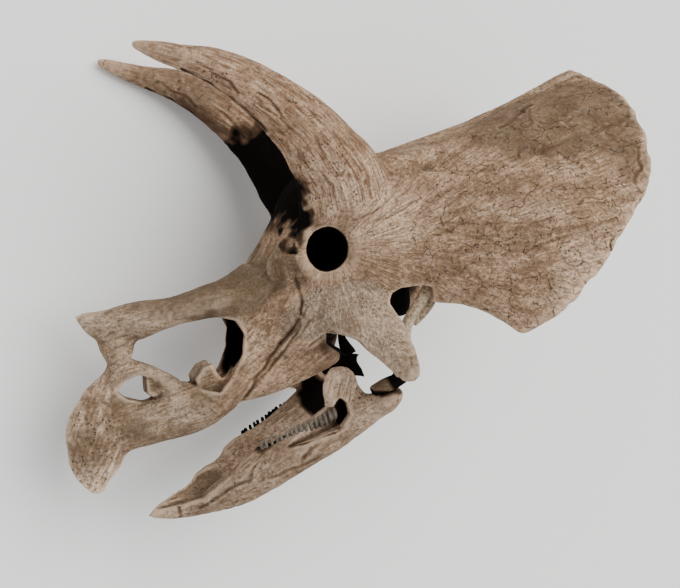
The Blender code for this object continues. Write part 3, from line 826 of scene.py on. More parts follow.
cranium_dark = carve_cranium(cranium)
print("cranium carved; darkest groove", round(float(cranium_dark.max()), 2))

# %% Carve the lower jaw
JAW_LUMPS = [(1.5, 60, 11), (0.9, 24, 12), (0.5, 11, 13)]


def carve_mandible(obj):
    """The same for the lower jaw, whose lines show only on faces that look outwards."""
    points, normals = skin_of(obj)
    spots = drawing(points)
    shifted = spots + NOISE_SHIFT
    outward = np.sign(spots[:, 2]) * -normals[:, 1]
    patches = np.clip(0.8 + noise(shifted, 40, 14), 0.2, 1.2)
    depth, dark = grooves(folded(spots), JAW_LINES, np.clip(outward * 2, 0, 1), patches, 1.4)
    points += normals * ((lumps(shifted, JAW_LUMPS) - depth) * MM)[:, None]
    set_points(obj, points)
    return dark


mandible_dark = carve_mandible(mandible)
print("lower jaw carved; darkest groove", round(float(mandible_dark.max()), 2))

# %% [markdown]
# ## Light and dirt by place
#
# Fossil bone isn't one colour. It is paler where it is rubbed, olive-brown where it lay in wet ground,
# and black in its caverns, which is painted shade, as are its creases and the faces turned from the
# light.
# These are properties of places on the skull, so they are worked out here for each point and stored on
# the mesh as attributes, which the materials read: "hollow" for the painted shade in the caverns and the
# dark matrix of the cracks, "stain" for the olive-brown ground stain, "pale" for rubbed bone and "ridge"
# for edges.

# %% Where the skull is dark, stained and pale
# Each blot is a middle (back, up, left), a reach along each axis and a strength. Those counted on both
# sides measure `left` outwards from the midline. The caverns get painted shade, black right through.
# Painted shade in the caverns of the skull, where light does not reach:
CAVERN_SHADE = [
    ((-300, -130, 0), (120, 170, 150), 3.0),        # the nose
    ((120, -20, 170), (160, 160, 120), 2.4),        # behind the cheek
    ((0, -110, 60), (130, 130, 130), 3.0),          # the throat
    ((40, -190, 80), (110, 110, 60), 3.0),          # the pterygoids
    ((215, 20, 50), (170, 130, 140), 2.0),          # below the braincase
    ((-90, -140, 60), (110, 60, 110), 2.0),         # the palate
]
# These are not mirrored: painted shade in the hollow between the horns, down to the front of both eye
# sockets, and two faint dark smudges on the left side.
FOREHEAD_SHADE = [
    ((-195, 345, -50), (150, 185, 250), 1.6),
    ((-180, 262, 130), (70, 74, 90), 1.6),
    ((-206, 165, 218), (36, 120, 66), 1.0),
    ((-192, 300, 208), (52, 150, 96), 1.2),
    ((-185, 390, -240), (190, 165, 180), 1.7),
    ((-90, 215, 285), (50, 30, 40), 0.3),
    ((-70, -142, 150), (60, 40, 50), 0.35),
    ((-225, 240, -150), (60, 80, 90), 0.8),
    ((-285, 450, -290), (85, 72, 100), 0.8),
]
# Painted shade along the lower edge of the right horn, brown rather than black.
RIGHT_HORN_EDGE_SHADE = [(-455, 590), (-378, 543), (-305, 488)]
# Painted shade on faces that look towards the midline, behind the cheek and under the frill; not mirrored
# either.
INNER_FACE_SHADE = [
    ((150, -20, -300), (220, 180, 260), 1.5),
    ((40, -120, -330), (160, 150, 200), 1.3),
    ((330, 0, -420), (120, 100, 130), 1.0),
    ((150, 20, 300), (120, 120, 120), 0.9),
]
# The right horn has taken up more of the ground's colour.
RIGHT_STAINS = [((-470, 620, -300), (280, 150, 160), 1.1)]
STAINS = [
    ((-430, 20, 60), (370, 120, 170), 2.0),         # top of the snout
    ((-120, 520, 250), (110, 190, 170), 0.4),       # back of the horns
    ((-660, -330, 60), (80, 60, 80), 0.6),          # below the small opening
    ((80, -200, 410), (80, 70, 80), 0.35),          # cheek tip
    ((-720, -400, 40), (110, 120, 90), 0.3),        # beak
    ((560, 590, 280), (400, 200, 300), 3.0),        # upper part of the frill
    ((780, 430, 400), (90, 120, 200), 0.8),         # its rear margin
    ((430, 190, 430), (90, 60, 120), 0.45),         # middle of the frill
    ((420, 300, 400), (120, 50, 120), 0.4),
    ((-250, 120, 160), (70, 120, 120), 1.0),        # in front of the eye socket
    ((-80, 235, 270), (60, 50, 110), 0.7),          # above the eye socket
    ((-640, -400, 40), (70, 50, 70), 1.0),          # rear of the beak
    ((-780, -470, 30), (80, 110, 80), 0.8),         # its front edge
    ((90, -190, 420), (80, 90, 90), 0.6),           # cheek tip again
    ((-650, 690, 300), (130, 60, 80), 0.5),         # horn tips
    ((-330, -290, 100), (120, 50, 80), 0.3),        # front of the maxilla
]
PALES = [
    ((-790, -70, 0), (110, 80, 80), 1.0),           # tip of the nasal horn
    ((-730, -600, 0), (120, 150, 100), 2.0),        # tip of the beak
    ((560, 10, 480), (110, 100, 160), 1.6),         # lower margin of the frill
    ((20, 230, 280), (190, 130, 150), 0.9),         # temple
    ((620, 60, 520), (170, 180, 200), 1.3),         # lower rear corner of the frill
    ((-60, 262, 300), (120, 90, 120), 1.3),         # brow
    ((-40, 340, 290), (130, 120, 130), 1.3),        # foot of the horn
    ((-340, -150, 150), (120, 90, 90), 1.0),        # side of the nose
    ((-150, 60, 240), (60, 60, 90), 0.5),           # below the eye socket
    ((-560, -90, 80), (130, 60, 90), 0.5),          # above the nostril
    ((-500, 640, 320), (260, 120, 120), 0.35),      # front half of the horns
    ((-190, 150, 260), (46, 80, 90), 0.9),          # front rim of the eye socket
    ((-140, -140, 180), (110, 70, 110), 0.6),       # below the cheek's fold
    ((-170, 400, 320), (130, 260, 90), 0.5),        # outer face of the horn
    ((40, -60, 330), (110, 110, 120), 0.8),         # cheek
    ((-520, -350, 90), (110, 60, 60), 0.8),         # premaxilla
    ((-710, -590, 0), (60, 50, 60), 1.0),           # tip of the beak again
]
# In the lower jaw the right half is painted black as shade, behind the left one; this table is not
# mirrored.
MOUTH_SHADE = [((-32, -318, -70), (80, 104, 150), 3.0), ((60, -330, -70), (110, 110, 150), 3.0)]
# Painted shade, black: between the tooth rows, in the fossa and at the hinge.
JAW_CAVERN_SHADE = [
    ((-160, -430, 0), (150, 80, 120), 1.6),         # between the tooth rows
    ((-34, -345, 190), (36, 74, 26), 2.6),          # the fossa
    ((70, -268, 262), (50, 24, 60), 1.2),           # the hinge
]
ROW_SHADE_REACH = 26          # millimetres of painted shade behind the left tooth row
JAW_STAINS = [
    ((-400, -560, 0), (170, 90, 66), 1.6),
    ((-80, -500, 200), (160, 60, 90), 0.7),
    ((10, -420, 230), (90, 50, 70), 0.5),
    ((-200, -480, 170), (160, 70, 90), 0.5),
    ((-330, -600, 80), (120, 60, 80), 0.4),
]
JAW_PALES = [
    ((-190, -400, 110), (140, 70, 60), 0.9),
    ((-60, -250, 210), (90, 90, 70), 1.6),
    ((30, -350, 240), (90, 70, 80), 0.8),
    ((-570, -660, 0), (90, 50, 60), 1.0),
    ((-110, -400, 150), (110, 60, 70), 0.6),
]


def ridges(obj, rounds=3, scale=1.9):
    """How far each point stands proud of its neighbours: 1 on edges, 0 in grooves, 0.5 where flat.

    `scale` is the height in millimetres that counts as a full edge.
    """
    mesh = obj.data
    points, normals = skin_of(obj)
    ends = np.empty(len(mesh.edges) * 2, np.int32)
    mesh.edges.foreach_get("vertices", ends)
    a, b = ends.reshape(-1, 2).T
    count = np.bincount(ends, minlength=len(points))[:, None]

    def around(values):
        """The mean of each point's neighbours."""
        total = np.empty_like(values)
        for k in range(values.shape[1]):
            total[:, k] = (np.bincount(a, values[b, k], len(points))
                           + np.bincount(b, values[a, k], len(points)))
        return total / count

    smooth = points
    for _ in range(rounds):
        smooth = around(smooth)
    proud = np.sum((points - smooth) * normals, axis=1)[:, None]
    for _ in range(2):
        proud = 0.5 * proud + 0.5 * around(proud)
    return np.clip(0.5 + proud[:, 0] / (scale * MM), 0, 1)


def cranium_marks(obj, grooved):
    """The four attributes of the cranium; `grooved` is the darkness of its grooves."""
    points, normals = skin_of(obj)
    spots = drawing(points)
    back, up, left = spots.T
    off = np.abs(left)
    ragged = spots + shake(spots, 16, 36, (21, 22, 23))
    torn = spots + shake(spots, 30, 52, (27, 28, 29)) + shake(spots, 12, 15, (37, 38, 39))
    # Painted shade: black in the caverns and between the horns, brown along the lower edge of the right
    # horn.
    hollow = np.maximum(sum_of_blots(ragged, CAVERN_SHADE), sum_of_blots(torn, FOREHEAD_SHADE, False))
    hollow = np.maximum(hollow, 0.45 * near_line(spots, RIGHT_HORN_EDGE_SHADE, 36, 8) * (left < -200))
    # The outsides of the cheek and of the nose get no painted shade.
    cheek = np.clip((off - 215) / 40, 0, 1) * (back > -100)
    nose = (off > 118) * (back < -180)
    hollow *= 1 - np.clip(cheek + nose, 0, 1) * (up < 130)
    # Painted shade on faces that look towards the midline.
    inner = np.clip(1.5 * np.sign(left) * normals[:, 1] - 0.2, 0, 1)
    hollow = np.maximum(hollow, inner * sum_of_blots(ragged, INNER_FACE_SHADE, False))
    # The eye socket is painted black as shade from just behind its rim inwards.
    gap = (spots[:, :2] - ORBIT - (-4, 0)) / (ORBIT_HALF[0] - 2, ORBIT_HALF[1])
    depth = face_left(back) + 10 - off
    hollow = np.maximum(hollow, (np.hypot(*gap.T) < 1) * np.clip(depth / 9, 0, 1))
    stain = np.maximum(sum_of_blots(ragged, STAINS), sum_of_blots(torn, RIGHT_STAINS, False))
    return {"hollow": np.maximum(hollow, grooved), "stain": stain,
            "pale": sum_of_blots(ragged, PALES), "ridge": ridges(obj)}


def mandible_marks(obj, grooved):
    """The four attributes of the lower jaw."""
    spots = drawing(skin_of(obj)[0])
    ragged = spots + shake(spots, 9, 26, (24, 25, 26))
    hollow = np.maximum(sum_of_blots(ragged, JAW_CAVERN_SHADE), sum_of_blots(ragged, MOUTH_SHADE, False))
    row = near_line(ragged, [spot[:2] for spot in TOOTH_ROW], ROW_SHADE_REACH, 3)
    hollow = np.maximum(hollow, 1.2 * row * (spots[:, 2] > 60) * (spots[:, 2] < 146))
    return {"hollow": np.maximum(hollow, grooved), "stain": sum_of_blots(ragged, JAW_STAINS),
            "pale": sum_of_blots(ragged, JAW_PALES), "ridge": ridges(obj)}


marks = {"cranium": cranium_marks(cranium, cranium_dark),
         "mandible": mandible_marks(mandible, mandible_dark)}
for body, found in marks.items():
    print(body, {name: round(float(values.mean()), 2) for name, values in found.items()})

# %% [markdown]
# ## Which way the fibres run
#
# Bone grows in fibres: along a horn, out across the frill like a fan, down the cheek from below the eye
# socket, along the snout and the jaw. Each bone gets its own coordinates, stored as the attribute
# "grain": first along the fibre, then across it, then depth. A noise that is stretched along the first
# number then looks like fibres that follow the bone.

# %% Grain of each bone
FRILL_REACH, SOCKET_REACH = 560, 260        # millimetres across the fibres for a radian round a fan


def axis_of(stations, side=LEFT, steps=10):
    """Points along the middle of a loft, as (back, up, left)."""
    return spline(stations, steps)[:, :3] * (1, 1, side)


def nearest_on(axis, spots):
    """For each spot, the number of the nearest point of an axis."""
    tree = KDTree(len(axis))
    for i, point in enumerate(axis):
        tree.insert(point, i)
    tree.balance()
    return np.array([tree.find(spot)[1] for spot in spots])


def fan_grain(spots, middle, reach):
    """Fibres that spread from a middle (back, up)."""
    gap = spots[:, :2] - middle
    turn = np.arctan2(gap[:, 1], gap[:, 0])
    return np.column_stack([np.hypot(*gap.T), turn * reach, spots[:, 2]])


def straight_grain(spots, slope):
    """Fibres that all run at one slope, in degrees above straight back."""
    lean = math.radians(slope)
    along = spots[:, 0] * math.cos(lean) + spots[:, 1] * math.sin(lean)
    across = spots[:, 1] * math.cos(lean) - spots[:, 0] * math.sin(lean)
    return np.column_stack([along, across, spots[:, 2]])


def axis_grain(spots, axis):
    """Fibres along a curved axis, such as a horn's."""
    nearest = nearest_on(axis, spots)
    steps = np.linalg.norm(np.diff(axis, axis=0), axis=1)
    run = np.concatenate([[0], np.cumsum(steps)])
    ways = np.gradient(axis, axis=0)
    ways /= np.linalg.norm(ways, axis=1)[:, None]
    gap = spots - axis[nearest]
    way = ways[nearest]
    along = run[nearest] + np.sum(gap * way, axis=1)
    across = gap[:, 1] * way[:, 0] - gap[:, 0] * way[:, 1]
    return np.column_stack([along, across, gap[:, 2]])


def kind_of(bone):
    """A bone's name without its side."""
    return bone.removesuffix("_left").removesuffix("_right")


def grain_of(bone, spots):
    """The grain coordinates of spots on a named bone."""
    if bone.startswith("brow_horn"):
        return axis_grain(spots, axis_of(BROW_HORN, LEFT if bone.endswith("left") else RIGHT))
    if bone.startswith(("squamosal", "parietal")):
        return fan_grain(spots, FAN_MIDDLE, FRILL_REACH)
    if bone.startswith(("jugal", "postorbital", "lacrimal")):
        return fan_grain(spots, ORBIT, SOCKET_REACH)
    slopes = {"frontal": 50, "nasal_horn": 10, "nasal": 12, "rostral": 70, "premaxilla": 20,
              "maxilla": 40, "braincase": 0, "predentary": 20, "dentary": 34, "coronoid": 75,
              "surangular": 25, "quadrate": 60, "tooth": 60}
    return straight_grain(spots, slopes[kind_of(bone)])


tip = np.array([BROW_HORN[0][:3]], float)
print("grain at a horn's tip:", grain_of("brow_horn_left", tip).round(1)[0])

# %% [markdown]
# ## Parting the skin into bones
#
# Everything so far was done on two whole skins, so nothing breaks off at a suture. Now each face goes to
# the bone whose outline holds it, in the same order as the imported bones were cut, and each bone becomes
# an object of its own. The normals of the whole skin are kept on each piece, so that the light runs
# across the sutures without a step.

# %% Outlines of the bones, in the side view
# Name, outline as (back, up), how far left of the midline it counts, and whether the bone is a pair.
CRANIUM_BONES = [
    ("brow_horn", [(-860, 210), (-230, 215), (-128, 236), (-3, 298), (83, 377), (52, 480),
                   (-205, 880), (-860, 870)], (70, 500), True),
    ("jugal", [(-236, -40), (-150, 34), (-56, 56), (49, 44), (58, -20), (130, -40), (165, -300),
               (-60, -300), (-110, -130), (-240, -110)], (180, 600), True),
    ("rostral", [(-880, -200), (-724, -237), (-683, -327), (-638, -500), (-680, -700),
                 (-880, -700)], (-200, 200), False),
    ("nasal_horn", [(-880, 0), (-758, 0), (-729, -59), (-747, -150), (-880, -150)],
     (-200, 200), False),
    ("premaxilla", [(-751, -127), (-675, -100), (-579, -147), (-424, -187), (-399, -286),
                    (-411, -485), (-670, -680), (-750, -225)], (0.2, 300), True),
    ("nasal", [(-783, 98), (-781, -148), (-587, -180), (-392, -190), (-330, -60), (-270, -10),
               (-245, 180), (-301, 297)], (-300, 300), False),
    ("maxilla", [(-424, -168), (-330, -60), (-250, -60), (-200, -30), (-120, -60), (20, -60),
                 (20, -330), (-421, -445)], (0.2, 400), True),
    ("squamosal", [(111, -109), (121, 84), (104, 209), (178, 315), (398, 452), (965, 603),
                   (997, -270), (300, -270)], (150, 700), True),
    ("parietal", [(98, 558), (113, 330), (234, 251), (1117, 102), (1088, 911), (579, 901)],
     (-600, 600), False),
    ("braincase", [(64, -200), (56, 200), (153, 300), (495, 302), (508, -203)],
     (-158, 158), False),
    ("postorbital", [(-121, -60), (-121, 420), (220, 420), (220, -60)], (140, 500), True),
    ("lacrimal", [(-350, -80), (-350, 340), (-121, 340), (-121, -80)], (100, 500), True),
]
MANDIBLE_BONES = [
    ("predentary", [(-680, -557), (-439, -500), (-417, -561), (-455, -621), (-425, -722),
                    (-680, -759)], (-300, 300), False),
    ("coronoid", [(-190, -140), (44, -140), (27, -262), (-2, -305), (-100, -305),
                  (-150, -270)], (20, 400), True),
    ("surangular", [(24, -190), (20, -285), (-12, -355), (10, -490), (300, -490), (300, -190)],
     (20, 400), True),
    ("dentary", [(-680, -100), (200, -100), (200, -890), (-680, -890)], (0.2, 400), True),
]
print(len(CRANIUM_BONES) + len(MANDIBLE_BONES), "outlines")

# %% Part and name the pieces
def inside(outline, back, up):
    """Which points an outline holds: those from which a ray crosses it an odd number of times."""
    held = np.zeros(len(back), bool)
    for (b0, u0), (b1, u1) in zip(outline, outline[1:] + outline[:1]):
        if u0 != u1:
            crosses = (u0 > up) != (u1 > up)
            held ^= crosses & (back < (b1 - b0) * (up - u0) / (u1 - u0) + b0)
    return held


def sorted_faces(spots, bones, leftover):
    """The name of the bone of each face, from the middles of the faces."""
    back, up = (spots[:, :2] + shake(spots, 7, 30, (31, 32))).T
    names = np.full(len(spots), leftover, object)
    free = np.ones(len(spots), bool)
    for name, outline, (low, high), paired in bones:
        held = inside(outline, back, up) & free
        sides = (("_left", LEFT), ("_right", RIGHT)) if paired else (("", LEFT),)
        for suffix, side in sides:
            left = side * spots[:, 2]
            found = held & (left > low) & (left < high)
            names[found] = name + suffix
            free &= ~found
    return names


def bone_piece(name, points, normals, faces, values):
    """One bone as an object: its faces, the normals of the whole skin, and its attributes."""
    used, corners = np.unique(faces, return_inverse=True)
    mesh = bpy.data.meshes.new(name)
    mesh.from_pydata(points[used], [], corners.reshape(faces.shape))
    mesh.shade_smooth()
    mesh.normals_split_custom_set_from_vertices(normals[used])
    for label, found in values.items():
        kind = "FLOAT_VECTOR" if found.ndim == 2 else "FLOAT"
        stored = mesh.attributes.new(label, kind, "POINT")
        key = "vector" if found.ndim == 2 else "value"
        stored.data.foreach_set(key, found[used].astype(np.float32).ravel())
    piece = bpy.data.objects.new(name, mesh)
    bpy.context.scene.collection.objects.link(piece)
    return piece


def lie_down(points, turn_only=False):
    """Points, or with turn_only directions, carried from the drawing frame to the floor."""
    turn = np.array(LAY_DOWN.to_3x3())
    moved = points @ turn.T
    return moved if turn_only else moved + np.array(LAY_DOWN.translation)


def faces_of(obj):
    """The corners of an object's faces; a voxel remesh makes only four-sided ones."""
    corners = np.empty(len(obj.data.loops), np.int32)
    obj.data.loops.foreach_get("vertex_index", corners)
    return corners.reshape(-1, 4)


def part(obj, bones, leftover, values):
    """Parts a skin into named bones, laid down on the floor."""
    points, normals = skin_of(obj)
    faces = faces_of(obj)
    spots = drawing(points)
    names = sorted_faces(spots[faces].mean(axis=1), bones, leftover)
    laid, turned = lie_down(points), lie_down(normals, True)
    made = {}
    for bone in sorted(set(names)):
        own = faces[names == bone]
        used = np.unique(own)
        grain = np.zeros_like(spots)
        grain[used] = grain_of(bone, spots[used]) * MM
        made[bone] = bone_piece(bone + "_fossil", laid, turned, own, {**values, "grain": grain})
    discard(obj)
    return made


pieces = part(cranium, CRANIUM_BONES, "frontal", marks["cranium"])
pieces |= part(mandible, MANDIBLE_BONES, "dentary_left", marks["mandible"])
missing = set(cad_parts) - set(pieces)
print(len(pieces), "bones; still to come:", sorted(missing))

# %% [markdown]
# ## Shader groups shared by every bone
#
# The bones differ in colour but share their surface: fibres, cracks, pores and dirt. Each of those is a
# shader node group, made once, with named sockets, and placed in every bone material with values of its
# own. Groups only pass on masks, heights and colours; the Principled shader stays in the material.

# %% Small helpers for node trees
def add_node(tree, kind, values=None, **settings):
    """A node with its settings and socket values, by socket name or number."""
    node = tree.nodes.new("ShaderNode" + kind)
    for name, setting in settings.items():
        setattr(node, name, setting)
    for socket, value in (values or {}).items():
        if isinstance(value, bpy.types.NodeSocket):
            tree.links.new(value, node.inputs[socket])
        else:
            node.inputs[socket].default_value = value
    return node


def new_group(name, inputs, outputs):
    """A node group with named sockets, and its two end nodes."""
    group = bpy.data.node_groups.new(name, "ShaderNodeTree")
    kinds = {float: "NodeSocketFloat", "colour": "NodeSocketColor", "vector": "NodeSocketVector"}
    for label, kind in inputs.items():
        group.interface.new_socket(label, in_out="INPUT", socket_type=kinds[kind])
    for label, kind in outputs.items():
        group.interface.new_socket(label, in_out="OUTPUT", socket_type=kinds[kind])
    start = group.nodes.new("NodeGroupInput")
    end = group.nodes.new("NodeGroupOutput")
    return group, start.outputs, end


def math_node(tree, operation, first, second):
    """The result of an operation on two numbers."""
    return add_node(tree, "Math", {0: first, 1: second}, operation=operation).outputs["Value"]


def ramp_between(tree, value, low, high, to_low=0.0, to_high=1.0):
    """A value rescaled from low..high to to_low..to_high, and clamped there."""
    node = add_node(tree, "MapRange", {"Value": value, "From Min": low, "From Max": high,
                                       "To Min": to_low, "To Max": to_high}, clamp=True)
    return node.outputs["Result"]


def mix_colour(tree, factor, first, second):
    """The first colour, turned into the second as the factor goes to 1."""
    # The colour sockets of a Mix node share their names with its other sockets, so they go by number.
    return add_node(tree, "Mix", {"Factor": factor, 6: first, 7: second}, data_type="RGBA").outputs[2]


def vector_node(tree, operation, first, second):
    """The result of an operation on two vectors."""
    return add_node(tree, "VectorMath", {0: first, 1: second}, operation=operation).outputs["Vector"]


def scaled_by(tree, vector, amount):
    """A vector times a number."""
    node = add_node(tree, "VectorMath", {0: vector, "Scale": amount}, operation="SCALE")
    return node.outputs["Vector"]


def noise_node(tree, vector, scale, detail, roughness=0.5, distortion=0.0):
    """The outputs of a noise texture."""
    return add_node(tree, "TexNoise", {"Vector": vector, "Scale": scale, "Detail": detail,
                                       "Roughness": roughness, "Distortion": distortion}).outputs


print("node helpers:", ", ".join(tool.__name__ for tool in (math_node, vector_node, noise_node)))

# %% [markdown]
# ### Fibres
#
# Two noises are read through the bone's own grain coordinates, divided by the length and the width of a
# fibre, so they stretch along the bone. The fine one gives the fibres, the broad one the streaks.

# %% Group: bone fibres
def make_fibre_group():
    """The height of the fibres and the strength of the streaks, along the grain."""
    group, given, end = new_group("bone_fibres", {"Grain": "vector", "Length": float, "Width": float},
                                  {"Height": float, "Streaks": float})
    size = add_node(group, "CombineXYZ", {0: given["Length"], 1: given["Width"], 2: given["Width"]})
    stretched = vector_node(group, "DIVIDE", given["Grain"], size.outputs["Vector"])
    fine = noise_node(group, stretched, 1.0, 4.0, 0.62, 0.35)["Fac"]
    broad = noise_node(group, scaled_by(group, stretched, 0.24), 1.0, 3.0, 0.55, 0.6)["Fac"]
    group.links.new(ramp_between(group, fine, 0.32, 0.68), end.inputs["Height"])
    group.links.new(ramp_between(group, broad, 0.36, 0.66), end.inputs["Streaks"])
    return group


FIBRES = make_fibre_group()
print("group:", FIBRES.name)

# %% [markdown]
# ### Cracks
#
# The edges between Voronoi cells make a net of cracks. The coordinates are bent by noise first, so that
# no crack runs straight. A second noise, with lumps smaller than a cell, lets only pieces of the net
# show: drying cracks start and stop, they don't close round every cell.

# %% Group: dry cracks
def make_crack_group():
    """Where the bone is cracked; width is a share of the size of a cell."""
    group, given, end = new_group("dry_cracks", {"Vector": "vector", "Size": float, "Width": float,
                                                 "Amount": float}, {"Crack": float})
    inverse = math_node(group, "DIVIDE", 1.0, given["Size"])
    even = scaled_by(group, given["Vector"], inverse)
    bend = vector_node(group, "SUBTRACT", noise_node(group, even, 1.7, 3.0)["Color"], (0.5, 0.5, 0.5))
    bent = vector_node(group, "ADD", even, scaled_by(group, bend, 0.75))
    cells = add_node(group, "TexVoronoi", {"Vector": bent, "Scale": 1.0},
                     feature="DISTANCE_TO_EDGE")
    line = ramp_between(group, cells.outputs["Distance"], 0.0, given["Width"], 1.0, 0.0)
    patch = noise_node(group, even, 2.1, 4.0, 0.7)["Fac"]
    least = math_node(group, "SUBTRACT", 0.72, math_node(group, "MULTIPLY", given["Amount"], 0.45))
    most = math_node(group, "ADD", least, 0.12)
    shown = ramp_between(group, patch, least, most)
    group.links.new(math_node(group, "MULTIPLY", line, shown), end.inputs["Crack"])
    return group


CRACKS = make_crack_group()
print("group:", CRACKS.name)

# %% [markdown]
# ### Pores
#
# Small Voronoi dots for the vessel pores and weather pits; again a broad noise keeps them in patches.

# %% Group: pores
def make_pore_group():
    """Where the bone has a pore."""
    group, given, end = new_group("pores", {"Vector": "vector", "Size": float, "Amount": float},
                                  {"Pore": float})
    inverse = math_node(group, "DIVIDE", 1.0, given["Size"])
    even = scaled_by(group, given["Vector"], inverse)
    cells = add_node(group, "TexVoronoi", {"Vector": even, "Scale": 1.0})
    dot = ramp_between(group, cells.outputs["Distance"], 0.12, 0.34, 1.0, 0.0)
    patch = noise_node(group, even, 0.16, 2.0)["Fac"]
    least = math_node(group, "SUBTRACT", 0.75, math_node(group, "MULTIPLY", given["Amount"], 0.5))
    most = math_node(group, "ADD", least, 0.1)
    shown = ramp_between(group, patch, least, most)
    group.links.new(math_node(group, "MULTIPLY", dot, shown), end.inputs["Pore"])
    return group


PORES = make_pore_group()
print("group:", PORES.name)

# %% [markdown]
# ### Age
#
# This group paints. It starts from the bone's colour, mottles it, draws darker streaks along the fibres,
# lays the olive-brown ground stain and the rubbed pale bone where the attributes say, lightens the edges,
# darkens creases with painted shade and cracks with their own dark, and paints shade black in the
# caverns.
# It also says how rough the surface is there.

# %% Group: age and dirt
OLIVE_DARK, OLIVE = (0.085, 0.055, 0.030, 1), (0.200, 0.135, 0.082, 1)      # ground stain
GREY = (0.36, 0.33, 0.28, 1)                                                # dust
SPECK = (0.10, 0.070, 0.046, 1)
# Painted shade in creases.
CREASE_SHADE = (0.075, 0.050, 0.032, 1)
CUT = (0.035, 0.022, 0.014, 1)                                              # in a crack or a pore
FRINGE_DARK, FRINGE = (0.052, 0.026, 0.014, 1), (0.115, 0.068, 0.040, 1)        # reddish brown round the painted shade and the matrix
MATRIX_AND_SHADE = (0.0035, 0.0025, 0.002, 1)                                         # black: matrix in deep cracks, painted shade in the caverns


def make_age_group():
    """The colour and the roughness of a bone, from its own colours and the masks given."""
    group, given, end = new_group(
        "age_and_dirt",
        {"Bone": "colour", "Dark": "colour", "Pale": "colour", "Vector": "vector", "Fibre": float,
         "Streaks": float, "Crack": float, "Pore": float, "Contrast": float},
        {"Color": "colour", "Roughness": float})
    hollow, stain, pale, ridge = (add_node(group, "Attribute", attribute_name=label).outputs["Fac"]
                                  for label in ("hollow", "stain", "pale", "ridge"))
    broad, patch, fine, speckle = (
        noise_node(group, given["Vector"], scale, detail, roughness)["Fac"]
        for scale, detail, roughness in ((6.5, 5, 0.6), (15, 6, 0.72), (42, 4, 0.7), (120, 4, 0.75)))

    def mask(value, low, high, to_low=0.0, to_high=1.0):
        return ramp_between(group, value, low, high, to_low, to_high)

    def times(value, amount):
        return math_node(group, "MULTIPLY", value, amount)

    olive = mix_colour(group, mask(patch, 0.40, 0.60), OLIVE_DARK, OLIVE)
    fringe = mix_colour(group, fine, FRINGE_DARK, FRINGE)
    cut = math_node(group, "MAXIMUM", given["Crack"], given["Pore"])
    # Each layer is a mask and a colour, painted over the ones before.
    layers = [
        (mask(broad, 0.44, 0.66, 0.0, 0.5), given["Pale"]),
        (mask(broad, 0.30, 0.48, 0.5, 0.0), given["Dark"]),
        (mask(patch, 0.38, 0.51, 0.62, 0.0), given["Dark"]),
        (mask(patch, 0.50, 0.64, 0.0, 0.55), given["Pale"]),
        (times(mask(given["Streaks"], 0.45, 1.0, 0.0, 0.7), given["Contrast"]), given["Dark"]),
        (mask(pale, 0.0, 1.0, 0.0, 0.85), given["Pale"]),
        (mask(stain, 0.05, 1.0, 0.0, 0.85), olive),
        (mask(fine, 0.52, 0.72, 0.0, 0.35), GREY),
        (times(mask(given["Fibre"], 0.05, 0.80, 0.85, 0.0), given["Contrast"]), given["Dark"]),
        (mask(speckle, 0.36, 0.56, 0.70, 0.0), SPECK),
        (mask(ridge, 0.56, 0.95, 0.0, 0.55), given["Pale"]),
        # Painted shade where the surface lies below its neighbours.
        (mask(ridge, 0.44, 0.05, 0.0, 0.75), CREASE_SHADE),
        (times(cut, 0.85), CUT),
        # Reddish-brown fringe, then black: painted shade in caverns and hollows, and the dark matrix of
        # the deeper cracks.
        (mask(hollow, 0.02, 0.50, 0.0, 0.92), fringe),
        (mask(hollow, 0.32, 0.92), MATRIX_AND_SHADE),
    ]
    tint = given["Bone"]
    for shown, colour in layers:
        tint = mix_colour(group, shown, tint, colour)
    group.links.new(tint, end.inputs["Color"])
    rough = math_node(group, "MAXIMUM", mask(fine, 0.3, 0.7, 0.66, 0.9), hollow)
    group.links.new(rough, end.inputs["Roughness"])
    return group


AGE = make_age_group()
print("group:", AGE.name)

# %% [markdown]
# ## The bone materials
#
# Each material sets the groups to its own bones: the frill is crazed, the horns have long fibres and few
# cracks, the cheek is greyer and fine, the snout is streaky, the quadrates are pale and smooth. One bump
# node takes the sum of fibres, grit, cracks and pores.

# %% Bone materials
GRIT_SCALE, GRIT_HEIGHT = 75.0, 0.0042      # the same for every bone; height in metres
DULL = 0.04                                 # old bone hardly reflects


